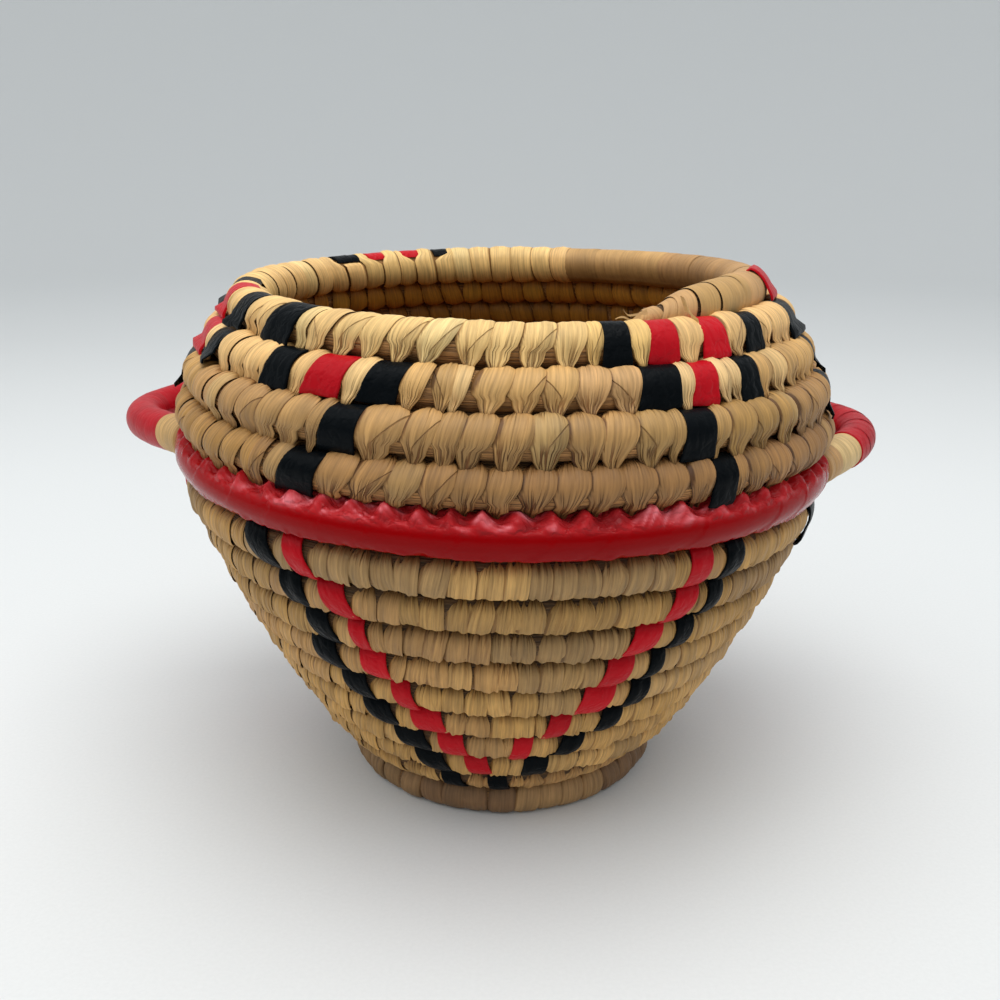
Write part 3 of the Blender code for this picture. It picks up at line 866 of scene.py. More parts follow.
def wall_strips(rng, courses, widths, ragged=1.0, room=None):
    """On the wall a strip is narrow where it comes out at its top, and its lower edge is ragged."""
    count = len(courses)
    facing, outs, ups = arc_rows(WALL_ARC, WALL_RADIUS / MILLIMETRES)
    thin = along_table("share", courses)[:, None]
    strips = Strips(rng, courses, widths, facing, outs * thin, ups * thin, WALL_WIDE)
    angles = np.array(WALL_ARC)
    pinch = step_up(angles, 22, 64) * (angles < 110)
    strips.shares = strips.shares * (1 + rng.normal(0.02, 0.14, (count, 1)) * pinch)
    strips.pleat = np.clip(0.22 + 0.6 * pinch, 0, 1) * rng.uniform(0.3, 1.0, (count, 1))
    strips.lift += strips.folds(0.00013 + 0.00022 * pinch)
    lines = strips.fold_lines(3) * (0.45 + 0.7 * pinch)[None, :, None]
    strips.lift -= 0.00018 * lines
    strips.lift += 0.00050 * (1 - np.abs(strips.across) ** 4 - 0.85)
    strips.lift += strips.each(-0.00018, 0.00018)
    strips.lift -= strips.each(0.00012, 0.00036) * strips.across
    # The lip is the lower edge, which stands off in waves and hangs down unevenly
    lip = band(angles, -62, -43, -34, 6)[None, :, None]
    strips.lift += 0.00034 * ragged * lip * (strips.waves_across(7) + strips.each(-0.6, 1.0))
    drop = 0.00070 * strips.waves_across(7) + rng.normal(0, 0.00028, (count, 1, 1))
    higher = 0.0009 * step_up(-courses, -BELT_COURSE, -1)[:, None, None]
    strips.slide = ragged * lip * (drop + higher)
    lean = rng.normal(0.0, 0.06, (count, 1)) + 0.5 * round_basket(courses, SLANTS)[:, None]
    strips.sway = -lean * np.sin(facing)
    strips.shade *= WALL_SHADE[None, :, None] * contact_shade(strips, 0.50, 0.12)
    strips.shade *= 1 - 0.38 * np.clip(lines, 0, 1)
    if room is not None:
        give_way(strips, angles, room)
    return strips


# The coil's core


TUBE_SIDES = 20


def build_tube(name, courses, radius, tint, place, core, *nodes):
    """A tube along the path with fibres that run lengthwise."""
    angles = np.linspace(0, 2 * np.pi, TUBE_SIDES, endpoint=False)
    radius = np.broadcast_to(radius, (TUBE_SIDES, len(courses)))
    out = radius * np.cos(angles)[:, None]
    up = radius * np.sin(angles)[:, None]
    points = place(np.broadcast_to(courses, out.shape), out, up)[None]
    length = np.concatenate([[0], np.cumsum(np.linalg.norm(np.diff(points[0, 0], axis=0), axis=1))])
    u = np.broadcast_to((angles * STRIP_RADIUS * MILLIMETRES)[:, None], out.shape)
    v = np.broadcast_to(length * MILLIMETRES, out.shape)
    colour = np.broadcast_to(tint, (*out.shape, 3))
    mesh = grid_mesh(name, points, np.stack([u, v], -1)[None], colour[None], round_section=True)
    new_object(name, mesh, core, *nodes, slot="fibre_core")


def build_core(core):
    """The fibre bundle inside the coil, with painted shade below the belt and under the tail, where gaps show
    it.
    """
    courses = np.arange(START_COURSE, TAIL_END_COURSE, 1 / 240)
    thin = along_table("share", courses)
    belt = np.abs(courses - BELT_COURSE) < 0.6
    radius = CORE_RADIUS * thin * tail_share(courses) * np.where(belt, 0.7, 1.0)
    radius = np.where(courses > RIM_COURSE + 0.5, wrap_radius(courses) - 0.0007, radius)
    rng = np.random.default_rng(3)
    shade = 1 + 0.15 * wander(rng, courses, 0.02)
    # Painted shade: the core is darker below the belt and under the tail, where it shows in gaps
    core_shade = 0.30 + 0.95 * step_up(courses, BELT_COURSE - 0.1, BELT_COURSE)
    core_shade = core_shade * (1 - 0.70 * step_up(courses, RIM_COURSE + 0.5, RIM_COURSE + 0.6))
    tint = CORE_BROWN * (shade * core_shade)[:, None]
    build_tube("coil_core", courses, radius, tint, tail_place, core)
    turns = np.linspace(0, 1, 241)
    build_tube("foot_core", turns, FOOT_SECTION_RADIUS - 0.0008, CORE_BROWN * 0.8, foot_place, core)


def build_web(core):
    """One sheet that closes the wall between each two courses, painted dark as the shade deep between them.

    On the first turn, which has no course below it, the sheet runs in to the basket's axis.
    """
    courses = np.arange(START_COURSE, TAIL_END_COURSE, 1 / 120)
    share = np.array((0.0, 0.5, 1.0))[:, None]
    low_out, low_up = below_centre(courses)
    first_turn = courses < START_COURSE + 1
    low_out = np.where(first_turn, 0.0, low_out)
    low_up = np.where(first_turn, -along_table("radius", courses), low_up)
    points = coil_place(np.broadcast_to(courses, (3, len(courses))), share * low_out, share * low_up)[None]
    u, v = np.broadcast_arrays(share * 11, courses * 300)
    # Painted shade: half as light as the core, deep between the courses
    tint = np.broadcast_to(CORE_BROWN * 0.5, (1, 3, len(courses), 3))
    mesh = grid_mesh("coil_web", points, np.stack([u, v], -1)[None], tint)
    new_object("coil_web", mesh, core, slot="fibre_core")


def tail_share(course):
    """How thick the coil is as it thins out, as a share of its full thickness."""
    progress = np.clip((course - TAIL_TAPER_COURSE) / (TIP_COURSE - TAIL_TAPER_COURSE), 0, 1)
    return np.maximum((1 - progress) ** TAIL_TAPER_POWER, TAIL_END_SHARE)


def tail_place(course, out, up):
    """As coil_place, but a coil that thins out sinks towards the course below."""
    sink = COIL_RADIUS * (1 - tail_share(course))
    lean = math.radians(LEAN_STATIONS[-1][1])
    up_r, up_z, out_r, out_z = axes_at(course)
    down_out = -(math.sin(lean) * out_r + math.cos(lean) * out_z)
    down_up = -(math.sin(lean) * up_r + math.cos(lean) * up_z)
    return coil_place(course, out + sink * down_out, up + sink * down_up)


# Strips wound round the tail and the handles


WOUND_ANGLES = np.arange(-195, 176, 9.0)


def wound_strips(rng, places, widths, radius, tilt, overlap, pillow, softness, thinning=0.0):
    """Strips wound round a path, each one's far edge over the next.

    places are the path's own values, widths and radius in metres, and tilt how far in metres each strip
    lies further along the path at the top than at the bottom. overlap is how much higher its far edge lies,
    pillow how round its back is, softness how deep the lines are, and thinning how much the radius falls from
    its middle to its far edge.
    """
    count = len(places)
    facing, outs, ups = arc_rows(WOUND_ANGLES, 1.0)
    radius = np.broadcast_to(radius, (count,))[:, None]
    strips = Strips(rng, places, widths, facing, radius * outs, radius * ups, 1.0)
    strips.inside = np.zeros(strips.outs.shape)
    strips.pleat = np.full(strips.outs.shape, 0.12) * rng.uniform(0.2, 1.0, (count, 1))
    strips.sway = np.broadcast_to(tilt, (count,))[:, None] / widths[:, None] * np.sin(facing + 0.5)
    lines = strips.fold_lines(3) * 0.6 * softness
    strips.lift += overlap * strips.across + pillow * (0.8 - np.abs(strips.across) ** 4)
    strips.lift -= np.broadcast_to(thinning, (count,))[:, None, None] * strips.across
    strips.lift -= 0.00014 * lines
    strips.lift += 0.00008 * strips.waves_along(8)
    strips.shares = strips.shares * (1 + 0.06 * strips.waves_along(6)[:, :, 0])
    # The start of each strip and the two ends of the winding go under
    strips.lift[:, 0] -= 0.0004
    strips.lift[0, :, 0] -= 0.002
    strips.lift[-1, :, -1] -= 0.002
    strips.shade *= edge_shade(strips.across, 0.45 * softness, 0.12 * softness) * (1 - 0.3 * lines)
    return strips


# Angles in degrees along the tail, and the radius of its wraps there
WRAP_RADII = (
    (-170, 0.0057), (-75, 0.0057), (-58, 0.0061), (-46, 0.0061), (-40, 0.0056),
    (-36, 0.0046), (-33, 0.0035), (-31, 0.0026), (-29, 0.0024), (-26, 0.0016),
)
# The wraps near the tail's tip: start and end in degrees, and tilt
LOOSE_WRAPS = (
    (-56.0, -45.8, -0.0008),
    (-45.2, -39.5, -0.0008),
    (-38.5, -34.4, -0.0014),
    (-34.8, -31.4, -0.0016),
    (-31.6, -28.6, 0.0010),
    (-29.4, -26.4, -0.0010),
)
# Loose ends: course, distances outwards and upwards, how far each runs on ahead, outwards and upwards, width
LOOSE_ENDS = (
    (RIM_COURSE + 0.922, 0.0014, -0.0004, 0.0064, 0.0002, -0.0002, 0.0030),
    (RIM_COURSE + 0.925, -0.0005, 0.0010, 0.0052, -0.0010, 0.0024, 0.0008),
    (RIM_COURSE + 0.924, 0.0000, 0.0012, 0.0042, 0.0006, 0.0030, 0.0006),
    (RIM_COURSE + 0.904, 0.0050, -0.0014, -0.0008, 0.0016, -0.0050, 0.0040),
)
LOOSE_COLUMNS = np.linspace(-1, 1, 5)
TAIL_PITCH = 0.0080
TIGHT_TILT = -0.0012


def wrap_radius(courses):
    return np.interp(360 * (courses - RIM_COURSE - 1), *zip(*WRAP_RADII))


def tail_edges(rng, last, metres):
    """Where one tight wrap of the tail ends and the next begins."""
    edges = [RIM_COURSE + 0.54]
    while edges[-1] < last - 0.008:
        edges.append(edges[-1] + TAIL_PITCH * rng.uniform(0.6, 1.5) / metres)
    edges[-1] = last
    return np.array(edges)


def build_tail(palm, core):
    """The end of the coil on the rim: wide slanted wraps, loose near the tip so that the core shows."""
    rng = np.random.default_rng(31)
    metres = float(turn_metres(RIM_COURSE + 0.8))
    loose_starts, loose_ends, loose_tilts = np.array(LOOSE_WRAPS).T
    edges = tail_edges(rng, RIM_COURSE + 1 + LOOSE_WRAPS[0][0] / 360, metres)
    tight_count = len(edges) - 1
    starts = np.concatenate([edges[:-1], RIM_COURSE + 1 + loose_starts / 360])
    ends = np.concatenate([edges[1:], RIM_COURSE + 1 + loose_ends / 360])
    tight = np.arange(len(starts)) < tight_count
    middles = (starts + ends) / 2
    widths = (ends - starts) * metres * np.where(tight, 1.20, 1.0) + 0.0004
    tilts = np.concatenate([np.full(tight_count, TIGHT_TILT), loose_tilts])
    thinning = (wrap_radius(starts) - wrap_radius(ends)) / 2
    strips = wound_strips(rng, middles, widths, wrap_radius(middles), tilts, 0.00008, 0.00016, 0.6, thinning)
    colours = palm_colours(rng, len(middles), (TAN, STRAW, YELLOW_TAN), (0.70, 0.22, 0.08), run=3)
    at_back = step_up(-middles, -(RIM_COURSE + 0.82), -(RIM_COURSE + 0.70))[:, None]
    inwards = step_up(-np.cos(strips.facing), -0.2, 0.8)
    strips.shade *= (1 - 0.16 * at_back - 0.34 * at_back * inwards)[:, :, None]
    path = {"place": tail_place, "turn": metres}
    strips.piece("rim_tail_wraps", colours, palm, "rim_tail", slot="palm_strip", **path)
    build_loose_ends(rng, palm)
    courses = np.linspace(TAIL_END_COURSE - 0.02, TIP_COURSE, 30)
    radius = 0.0012 * np.linspace(1.0, 0.35, 30)
    build_tube("tail_tip_fibres", courses, radius, CORE_BROWN * 0.8, tail_place, core, "rim_tail_core_tip")


def build_loose_ends(rng, palm):
    """Ends of the last strips, which stick out at the knot and hang over the course below."""
    sheets = []
    share = np.linspace(0, 1, 12)
    for course, out, up, ahead, outward, rise, width in LOOSE_ENDS:
        curl = 0.0008 * np.sin(share * 5 + rng.uniform(0, 6))
        along = course + ahead * share / float(turn_metres(course))
        outs = out + outward * share + curl
        ups = up + rise * share - 0.0010 * share**2
        half = width / 2 * (1 - 0.75 * share**2)
        columns = [(outs + 0.3 * half * across, ups + half * across) for across in LOOSE_COLUMNS]
        sheets.append(np.stack([tail_place(along, *column) for column in columns], 1))
    points = np.stack(sheets)
    u, v = np.meshgrid(np.linspace(0, 3, 5), np.linspace(0, 10, 12))
    fibre = np.broadcast_to(np.stack([u, v], -1), (*points.shape[:3], 2))
    tint = np.broadcast_to(STRAW * 0.8, points.shape)
    new_object("tail_loose_ends", grid_mesh("tail_loose_ends", points, fibre, tint), palm, slot="palm_strip")


# Belt


# The film's ridges: spacing, height and slant
CRINKLES = ((0.0060, 0.00042, 0.4), (0.0034, 0.00040, -0.7), (0.0018, 0.00022, 0.5))
# The radius of the basket where the stitches' tips reach the belt
BELT_TIP_RADIUS = 0.092
# Colour of the painted highlights on the film's crinkles
BELT_HIGHLIGHT_PINK = np.array([1.0, 0.75, 0.85])


def belt_wraps(rng, arc, angles):
    """The film's slanting wraps: each place along them, its wrap's number and its share of the wrap."""
    edges = [arc[0] - 0.01]
    while edges[-1] < arc[-1] + 0.02:
        edges.append(edges[-1] + rng.uniform(0.012, 0.026))
    edges = np.array(edges)
    place = arc[None, :] + (0.0045 * np.sin(angles) + 0.002 * np.cos(2 * angles))
    index = np.clip(np.searchsorted(edges, place), 1, len(edges) - 1)
    start = edges[index - 1]
    return place, index, (place - start) / (edges[index] - start)


def belt_over_tips(radius, courses, arc, degrees, upper, tips):
    """The film rises between the stitches' tips, sinks at each tip and is pushed up beside it."""
    ways = [(courses - tip) * 2 * np.pi * BELT_TIP_RADIUS for tip in tips]
    nearest = np.minimum(1.0, np.abs(ways).min(0))
    uneven = 0.72 + 0.28 * wander(np.random.default_rng(18), arc, 0.007)
    between = (step_up(nearest, 0.0012, 0.0036) * uneven)[None, :]
    radius = radius + upper * step_up(degrees, 46, 68) * (0.0003 + 0.0014 * between)
    dent = band(degrees, 38, 58, 85, 105)
    for away in ways:
        radius = radius - 0.0012 * bell(away, 0, 0.0017)[None, :] * dent
        ridge = bell(np.abs(away), 0.0034, 0.0010)[None, :]
        radius = radius + 0.00036 * ridge * step_up(degrees, 32, 48) * (1 - step_up(degrees, 75, 95))
    return radius


def build_belt(red, tips):
    """The belt's smooth wraps, crinkled above round the tips of the stitches and ragged below."""
    rng = np.random.default_rng(17)
    courses = np.arange(BELT_COURSE - 0.5, BELT_COURSE + 0.5, 1 / 1500)
    arc = courses * 2 * np.pi * along_table("radius", courses).mean()
    angles = np.radians(np.arange(0, 360, 6.0))[:, None]
    degrees = np.degrees(angles)
    place, index, part = belt_wraps(rng, arc, angles)
    radius = STRIP_RADIUS + 0.00016 * (part - 0.5)
    crinkle = np.zeros(place.shape)
    for spacing, size, slant in CRINKLES:
        slanted = arc[None, :] + slant * spacing * degrees / 12
        crinkle += size * (0.5 - np.abs(wander(rng, slanted, spacing)))
    from_front = np.abs(360 * turns_from_front(courses))
    upper = band(degrees, 18, 44, 100, 130) * (0.25 + 0.75 * step_up(-from_front, -60, -35))[None, :]
    radius = belt_over_tips(radius + upper * crinkle, courses, arc, degrees, upper, tips)
    ragged = wander(rng, arc, 0.0035) + 0.6 * wander(rng, arc, 0.0012)
    radius = radius + bell(degrees, 314, 11) * (0.00034 + 0.00030 * ragged[None, :])
    radius = radius + 0.00006 * wander(rng, arc, 0.012)[None, :]
    out = radius * np.cos(angles)
    up = radius * np.sin(angles)
    points = coil_place(np.broadcast_to(courses, out.shape), out, up)[None]
    # Painted light and shade: the crinkled upper zone is lighter, its ridges lighter and its hollows darker,
    # with painted highlights on the ridges. Each wrap's own colour differs a little.
    ridges = np.clip(crinkle / 0.0004, -1, 1) * upper
    tone = (1 + 0.05 * np.sin(index * 12.9)) * (1 + 0.45 * upper + 0.55 * ridges)
    painted_highlight = 0.022 * upper + 0.26 * np.clip(ridges, 0, 1) ** 3
    tint = BELT_RED * tone[..., None] + painted_highlight[..., None] * BELT_HIGHLIGHT_PINK
    across = np.broadcast_to(angles * (STRIP_RADIUS * MILLIMETRES), out.shape)
    fibre = np.stack([across, place * MILLIMETRES], -1)[None]
    creased = np.broadcast_to(upper, out.shape)[None]
    mesh = grid_mesh("red_belt", points, fibre, tint[None], creased, round_section=True)
    new_object("red_belt", mesh, red, "red_belt_course", slot="red_plastic")


# Handles


HANDLE_SEEDS = {"left": 41, "right": 43}
BARE_PITCH = 0.0046
RED_PITCH = 0.0042
# A short step along a handle's loop, as a share of it, to find the loop's direction
LOOP_STEP = 1e-3


def handle_points(loop, share):
    """The centre line of a handle: it leaves the belt and comes back to it in a bow."""
    angle, reach, rise = loop
    here = np.radians(angle + HANDLE_HALF_SPAN * (2 * share - 1))
    course = BELT_COURSE + here / (2 * np.pi)
    bow = np.sin(np.pi * share) ** 2
    radius = along_table("radius", course) + reach * bow
    height = along_table("height", course) + rise * bow
    return around_axis(radius, here, height)


def handle_step(loop, share):
    return handle_points(loop, share + LOOP_STEP) - handle_points(loop, share - LOOP_STEP)


def path_metres(loop, share):
    """Metres of the loop for each unit of its share."""
    return float(np.linalg.norm(handle_step(loop, share)) / (2 * LOOP_STEP))


def handle_place(loop):
    """A function that puts points round the loop: outwards is its far side and upwards is up."""

    def place(share, out, up):
        ahead = handle_step(loop, share)
        ahead /= np.linalg.norm(ahead, axis=-1, keepdims=True)
        upward = np.array([0.0, 0.0, 1.0]) - ahead * ahead[..., 2:]
        upward /= np.linalg.norm(upward, axis=-1, keepdims=True)
        outward = np.cross(upward, ahead)
        return handle_points(loop, share) + outward * out[..., None] + upward * up[..., None]

    return place


def wrap_edges(rng, loop, first, last, pitch):
    """Where one wrap of a handle ends and the next begins."""
    edges = [first]
    while edges[-1] < last - 0.4 * pitch / path_metres(loop, last):
        edges.append(edges[-1] + pitch * rng.uniform(0.7, 1.4) / path_metres(loop, edges[-1]))
    edges = np.array(edges)
    return first + (edges - first) * (last - first) / (edges[-1] - first)


def build_handle(side, palm, red):
    """A handle's grip and two roots. The front root is bare leaf, with one wide wrap on the right side's."""
    rng = np.random.default_rng(HANDLE_SEEDS[side])
    loop = HANDLES[side]
    root = ROOT_SHARES[side] - RED_REACH[side]
    front = "low" if loop[0] > 0 else "high"
    low = (0.060, root + 0.002)
    grip = (root - 0.002, 1.002 - root)
    high = (0.998 - root, 0.940)
    for word, first, last in (("low", *low), ("grip", *grip), ("high", *high)):
        bare = word == front
        edges = wrap_edges(rng, loop, first, last, BARE_PITCH if bare else RED_PITCH)
        wide_wrap = bare and side == "right"
        if wide_wrap:
            edges = np.delete(edges, (-3, -2)) if word == "low" else np.delete(edges, (1, 2))
        middles = (edges[:-1] + edges[1:]) / 2
        metres = np.array([path_metres(loop, middle) for middle in middles])
        widths = np.diff(edges) * metres * 1.12 + 0.0003
        if bare:
            colours = palm_colours(rng, len(middles), (TAN, STRAW), (0.6, 0.4), run=2) * 0.9
            if wide_wrap:
                colours[-1 if word == "low" else 0] = PALE_STRAW * 0.9
            radius = HANDLE_THICKNESS / 2
            strips = wound_strips(rng, middles, widths, radius, 0.0012, 0.00014, 0.0004, 0.5)
        else:
            colours = HANDLE_RED * rng.uniform(0.88, 1.08, (len(middles), 1))
            radius = HANDLE_THICKNESS / 2 + 0.0003
            strips = wound_strips(rng, middles, widths, radius, 0.0006, 0.00006, 0.00005, 0.3)
        end = "grip" if word == "grip" else "front_root" if bare else "back_root"
        node = f"{side}_handle_{end}"
        slot = "palm_strip" if bare else "red_plastic"
        path = {"place": handle_place(loop), "turn": metres}
        strips.piece(node + "_wraps", colours, palm if bare else red, node, slot=slot, **path)


# Coloured stitches, by course: colour, and the angles of its two sides at the front, positive to the left
FRONT_STITCHES = {
    14: (("red", -79, -71),),
    13: (
        ("black", 80, 86), ("red", 70, 76), ("black", 55.4, 61.2), ("black", 38.8, 45.8),
        ("black", -20.6, -16.4), ("red", -29.6, -24.6), ("red", -40.6, -35.4), ("black", -51.4, -46.6),
        ("black", -76, -67),
    ),
    12: (
        ("red", 68, 77), ("black", 58.6, 64.4), ("black", 35.6, 41.0), ("red", 25.2, 31.4),
        ("black", 15.6, 21.0), ("black", -27.4, -21.2), ("red", -34.6, -30.4), ("black", -44.4, -40.2),
        ("black", -75, -71),
    ),
    11: (("black", 76, 84), ("black", 21.2, 26.6), ("black", -31.4, -26.4), ("black", -76, -71)),
    10: (("black", 27.4, 33.4), ("black", -35.0, -31.0)),
    8: (
        ("red", 77, 81), ("black", 37.2, 41.8), ("red", 30.2, 33.6),
        ("red", -32.2, -28.6), ("black", -39.2, -35.8), ("black", -70, -64), ("red", -80, -76),
    ),
    7: (("black", 33.2, 37.4), ("red", 24.6, 29.0), ("red", -31.4, -27.4), ("black", -37.6, -34.8)),
    6: (("black", 30.0, 34.4), ("red", 23.2, 26.0), ("red", -26.6, -21.6), ("black", -34.2, -31.0)),
    5: (("black", 31.4, 36.4), ("red", 21.2, 26.0), ("red", -23.4, -18.6), ("black", -30.8, -28.0)),
    4: (("black", 27.2, 32.6), ("red", 17.8, 21.4), ("red", -21.4, -15.4), ("black", -30.2, -26.2)),
    3: (("black", 24.0, 30.0), ("red", 12.8, 19.0), ("red", -13.8, -9.6), ("black", -26.0, -21.6)),
    2: (("black", 18.0, 24.8), ("red", 9.0, 14.4), ("red", -6.4, -2.4), ("black", -18.6, -13.6)),
    1: (("black", 15.0, 21.8), ("red", 3.2, 8.6), ("black", -11.6, -5.8)),
    0: (("black", 11.4, 16.6), ("black", -2.2, 3.0)),
}
# The lowest and highest course with coloured stitches on the shoulder and on the wall
SHOULDER_COURSES = (BELT_COURSE + 1, RIM_COURSE + 1)
WALL_COURSES = (0, BELT_COURSE - 1)
# The front's zigzag, within this many degrees of the front, comes again in turns of a right angle. A copy is
# kept where it is beyond the second angle
FRONT_REACH = 57
COPY_START = 88
ZIGZAG_TURN = 90


def stitch_list(colour, low, high):
    """(course, width, inward, side) of each stitch of this colour on the whole courses from low to high.

    The front's zigzag comes again at the back. inward is the side of the next stitch of its line, and side is
    1 for a stitch at the basket's sides, where the ends stick out.
    """
    found = []
    for course, stitches in FRONT_STITCHES.items():
        if not low <= course <= high:
            continue
        for name, right, left in stitches:
            if name != colour:
                continue
            front = (right + left) / 2
            for turn in range(-1, 3):
                wrapped = (front + turn * ZIGZAG_TURN + 180) % 360 - 180
                if turn and (abs(front) > FRONT_REACH or abs(wrapped) < COPY_START):
                    continue
                here = course + wrapped / 360
                if turn and here > RIM_COURSE + 0.5:
                    continue
                radius = float(along_table("radius", here)) + COIL_RADIUS
                inward = -1 if front > 0 else 1
                side = 1.0 if abs(wrapped) > FRONT_REACH else 0.0
                found.append((here, math.radians(left - right) * radius, inward, side))
    return np.array(sorted(found))


def both_colours(courses):
    return np.concatenate([stitch_list(colour, *courses) for colour in ("red", "black")])


# The rows of a coloured stitch on the wall
PLASTIC_ARC = (-52, -50, -44, -34, -22, -10, 2, 14, 26, 38, 50, 60, 70, 80, 88, 90)


def skirt(strips, drop):
    """Gives the sheet thickness: its outermost columns turn down to the strip below."""
    strips.across = np.concatenate([[-1.0], np.linspace(-1, 1, ACROSS - 2), [1.0]])
    strips.lift[:, :, 0] -= drop
    strips.lift[:, :, -1] -= drop


# Rows of a flap on its way down, and round the course
FLAT_ROWS = 4
ARC_ROWS = 12


def flap_rows(courses, ends, radius):
    """Rows of a flap that lies round the upper half of the course and then runs straight to the course below.

    ends are the angles round the course below where each flap stops.
    """
    outs_end, ups_end = tip_rows(courses, ((ends, 1.0),), radius)
    reach = np.hypot(outs_end, ups_end)
    leaving = np.arctan2(ups_end, outs_end) + np.arccos(np.minimum(radius / reach, 1))
    share = np.linspace(0, 1, FLAT_ROWS + 1)[:-1]
    outs_flat = outs_end + (radius * np.cos(leaving) - outs_end) * share
    ups_flat = ups_end + (radius * np.sin(leaving) - ups_end) * share
    round_facing = leaving + (np.pi / 2 - leaving) * np.linspace(0, 1, ARC_ROWS)
    facing = np.concatenate([np.repeat(leaving, FLAT_ROWS, 1), round_facing], 1)
    outs = np.concatenate([outs_flat, radius * np.cos(round_facing)], 1)
    ups = np.concatenate([ups_flat, radius * np.sin(round_facing)], 1)
    return facing, outs, ups


def shoulder_plastic(rng, stitches):
    """On the shoulder a stitch is a flat flap that reaches down to the course below."""
    courses, widths, _, side = stitches.T
    count = len(courses)
    ends = rng.uniform(46, 56, count)
    facing, outs, ups = flap_rows(courses, ends, STRIP_RADIUS + 0.0005)
    angles = np.concatenate([np.linspace(-60, -24, FLAT_ROWS), np.linspace(-20, 90, ARC_ROWS)])
    top = step_up(angles, 40, 90)
    covered = (courses < RIM_OPEN_COURSE)[:, None]
    shares = 1.0 - 0.15 * top * covered + 0.12 * step_up(-angles, 0, 60)
    strips = Strips(rng, courses, widths, facing, outs, ups, shares)
    strips.pleat += 1
    low = step_up(-angles, 5, 55)[None, :, None]
    strips.lift += 0.00016 * strips.waves_across(5) * (0.4 + low)
    strips.lift += 0.00014 * strips.waves_along(6)
    loose = side * np.where(courses > RIM_COURSE + 0.5, 0.3, 1.0)
    flare = strips.each(0.0, 0.0006) + 0.0018 * loose[:, None, None]
    strips.lift += flare * low**1.5 * (1 + 0.5 * strips.across * rng.choice((-1, 1), (count, 1, 1)))
    strips.lift -= 0.0006 * (top * covered)[:, :, None]
    on_tail = (courses > RIM_COURSE + 0.5)[:, None] * (1 - 4.5 * step_up(angles, 32, 60))
    strips.lift += 0.0009 * on_tail[:, :, None]
    end = step_up(-angles, 36, 60)[None, :, None]
    strips.slide = end * (0.0004 * strips.waves_across(4))
    skirt(strips, 0.0006)
    strips.lift[:, 0] -= 0.00030
    strips.lift[:, -1] -= 0.00045
    lean = rng.normal(0, 0.04, (count, 1)) + round_basket(courses, SLANTS)[:, None]
    strips.sway = -lean * np.sin(np.radians(angles))
    return strips


def wall_plastic(rng, stitches):
    """On the wall a stitch leans towards the next one of its line and ends at the course's lower side."""
    courses, widths, inward, side = stitches.T
    count = len(courses)
    angles = np.array(PLASTIC_ARC)
    facing, outs, ups = arc_rows(PLASTIC_ARC, STRIP_RADIUS + 0.0006)
    thin = along_table("share", courses)[:, None]
    shares = 1.04 - 0.16 * step_up(-angles, 5, 50) - 0.06 * step_up(angles, 50, 90)
    strips = Strips(rng, courses, widths, facing, outs * thin, ups * thin, shares)
    strips.pleat += 1
    low = step_up(-angles, 0, 48)[None, :, None]
    strips.lift += 0.00016 * strips.waves_across(4)
    strips.lift += 0.00016 * strips.waves_along(6)
    strips.lift += 0.00020 * (1 - strips.across**2)
    flare = strips.each(0.0, 0.0006) + 0.0016 * side[:, None, None]
    strips.lift += flare * low**1.5
    strips.slide = low * 0.0007 * (strips.waves_across(4) + strips.each(-0.8, 0.4))
    skirt(strips, 0.0005)
    strips.lift[:, 0] -= 0.0004
    strips.lift[:, -1] -= 0.0004
    strips.sway = -(inward * rng.uniform(0.12, 0.42, count))[:, None] * np.sin(facing)
    return strips


def build_stitches(red, black):
    places = (("shoulder", SHOULDER_COURSES, shoulder_plastic), ("wall", WALL_COURSES, wall_plastic))
    for colour, tone, material, seed in (("black", BLACK, black, 60), ("red", RED, red, 61)):
        rng = np.random.default_rng(seed)
        for part, courses, plastic_strips in places:
            stitches = stitch_list(colour, *courses)
            strips = plastic_strips(rng, stitches)
            colours = tone * rng.uniform(0.85, 1.12, (len(stitches), 1))
            lines = [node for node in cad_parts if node.startswith(f"{part}_{colour}_line")]
            strips.piece(f"{part}_{colour}_stitches", colours, material, *lines, slot=f"{colour}_plastic")


# The palm pieces


# No colour channel of a strip is lighter than this
LIGHTEST = 0.92


def from_to(courses, first, last):
    return (courses >= first) & (courses < last)


def build_shoulder(palm):
    """The four courses above the belt. Gives the places where the lowest one's tips reach the belt."""
    rng = np.random.default_rng(7)
    courses = shoulder_positions(rng)
    widths = widths_between(courses)
    colours = palm_colours(rng, len(courses), (TAN, STRAW, YELLOW_TAN, PALE_STRAW), (0.62, 0.22, 0.12, 0.04))
    room = make_room(courses, widths, both_colours(SHOULDER_COURSES))
    whole = (BELT_COURSE + 1, BELT_COURSE + 2, RIM_COURSE - 1, RIM_COURSE)
    tones_and_light = np.stack([np.interp(courses, whole, levels) for levels in SHOULDER_TONES_AND_LIGHT.T], 1)
    # Painted light: lighter towards the rim and on the sides where more light falls, besides the leaf's own
    # colour
    colours = colours * (tones_and_light * round_basket(courses, SHOULDER_ROUND_TONE_AND_LIGHT)[:, None])
    colours *= np.minimum(1, LIGHTEST / colours.max(1, keepdims=True))
    for number in range(1, 5):
        middle = BELT_COURSE + number
        part = from_to(courses, middle - 0.5, middle + 0.5 if number < 4 else middle + 1)
        strips = shoulder_strips(rng, courses[part], widths[part], [values[part] for values in room])
        node = f"shoulder_course_{number}"
        strips.piece(node + "_strips", colours[part], palm, node, slot="palm_strip")
    return courses[from_to(courses, BELT_COURSE + 0.5, BELT_COURSE + 1.5)] - 1


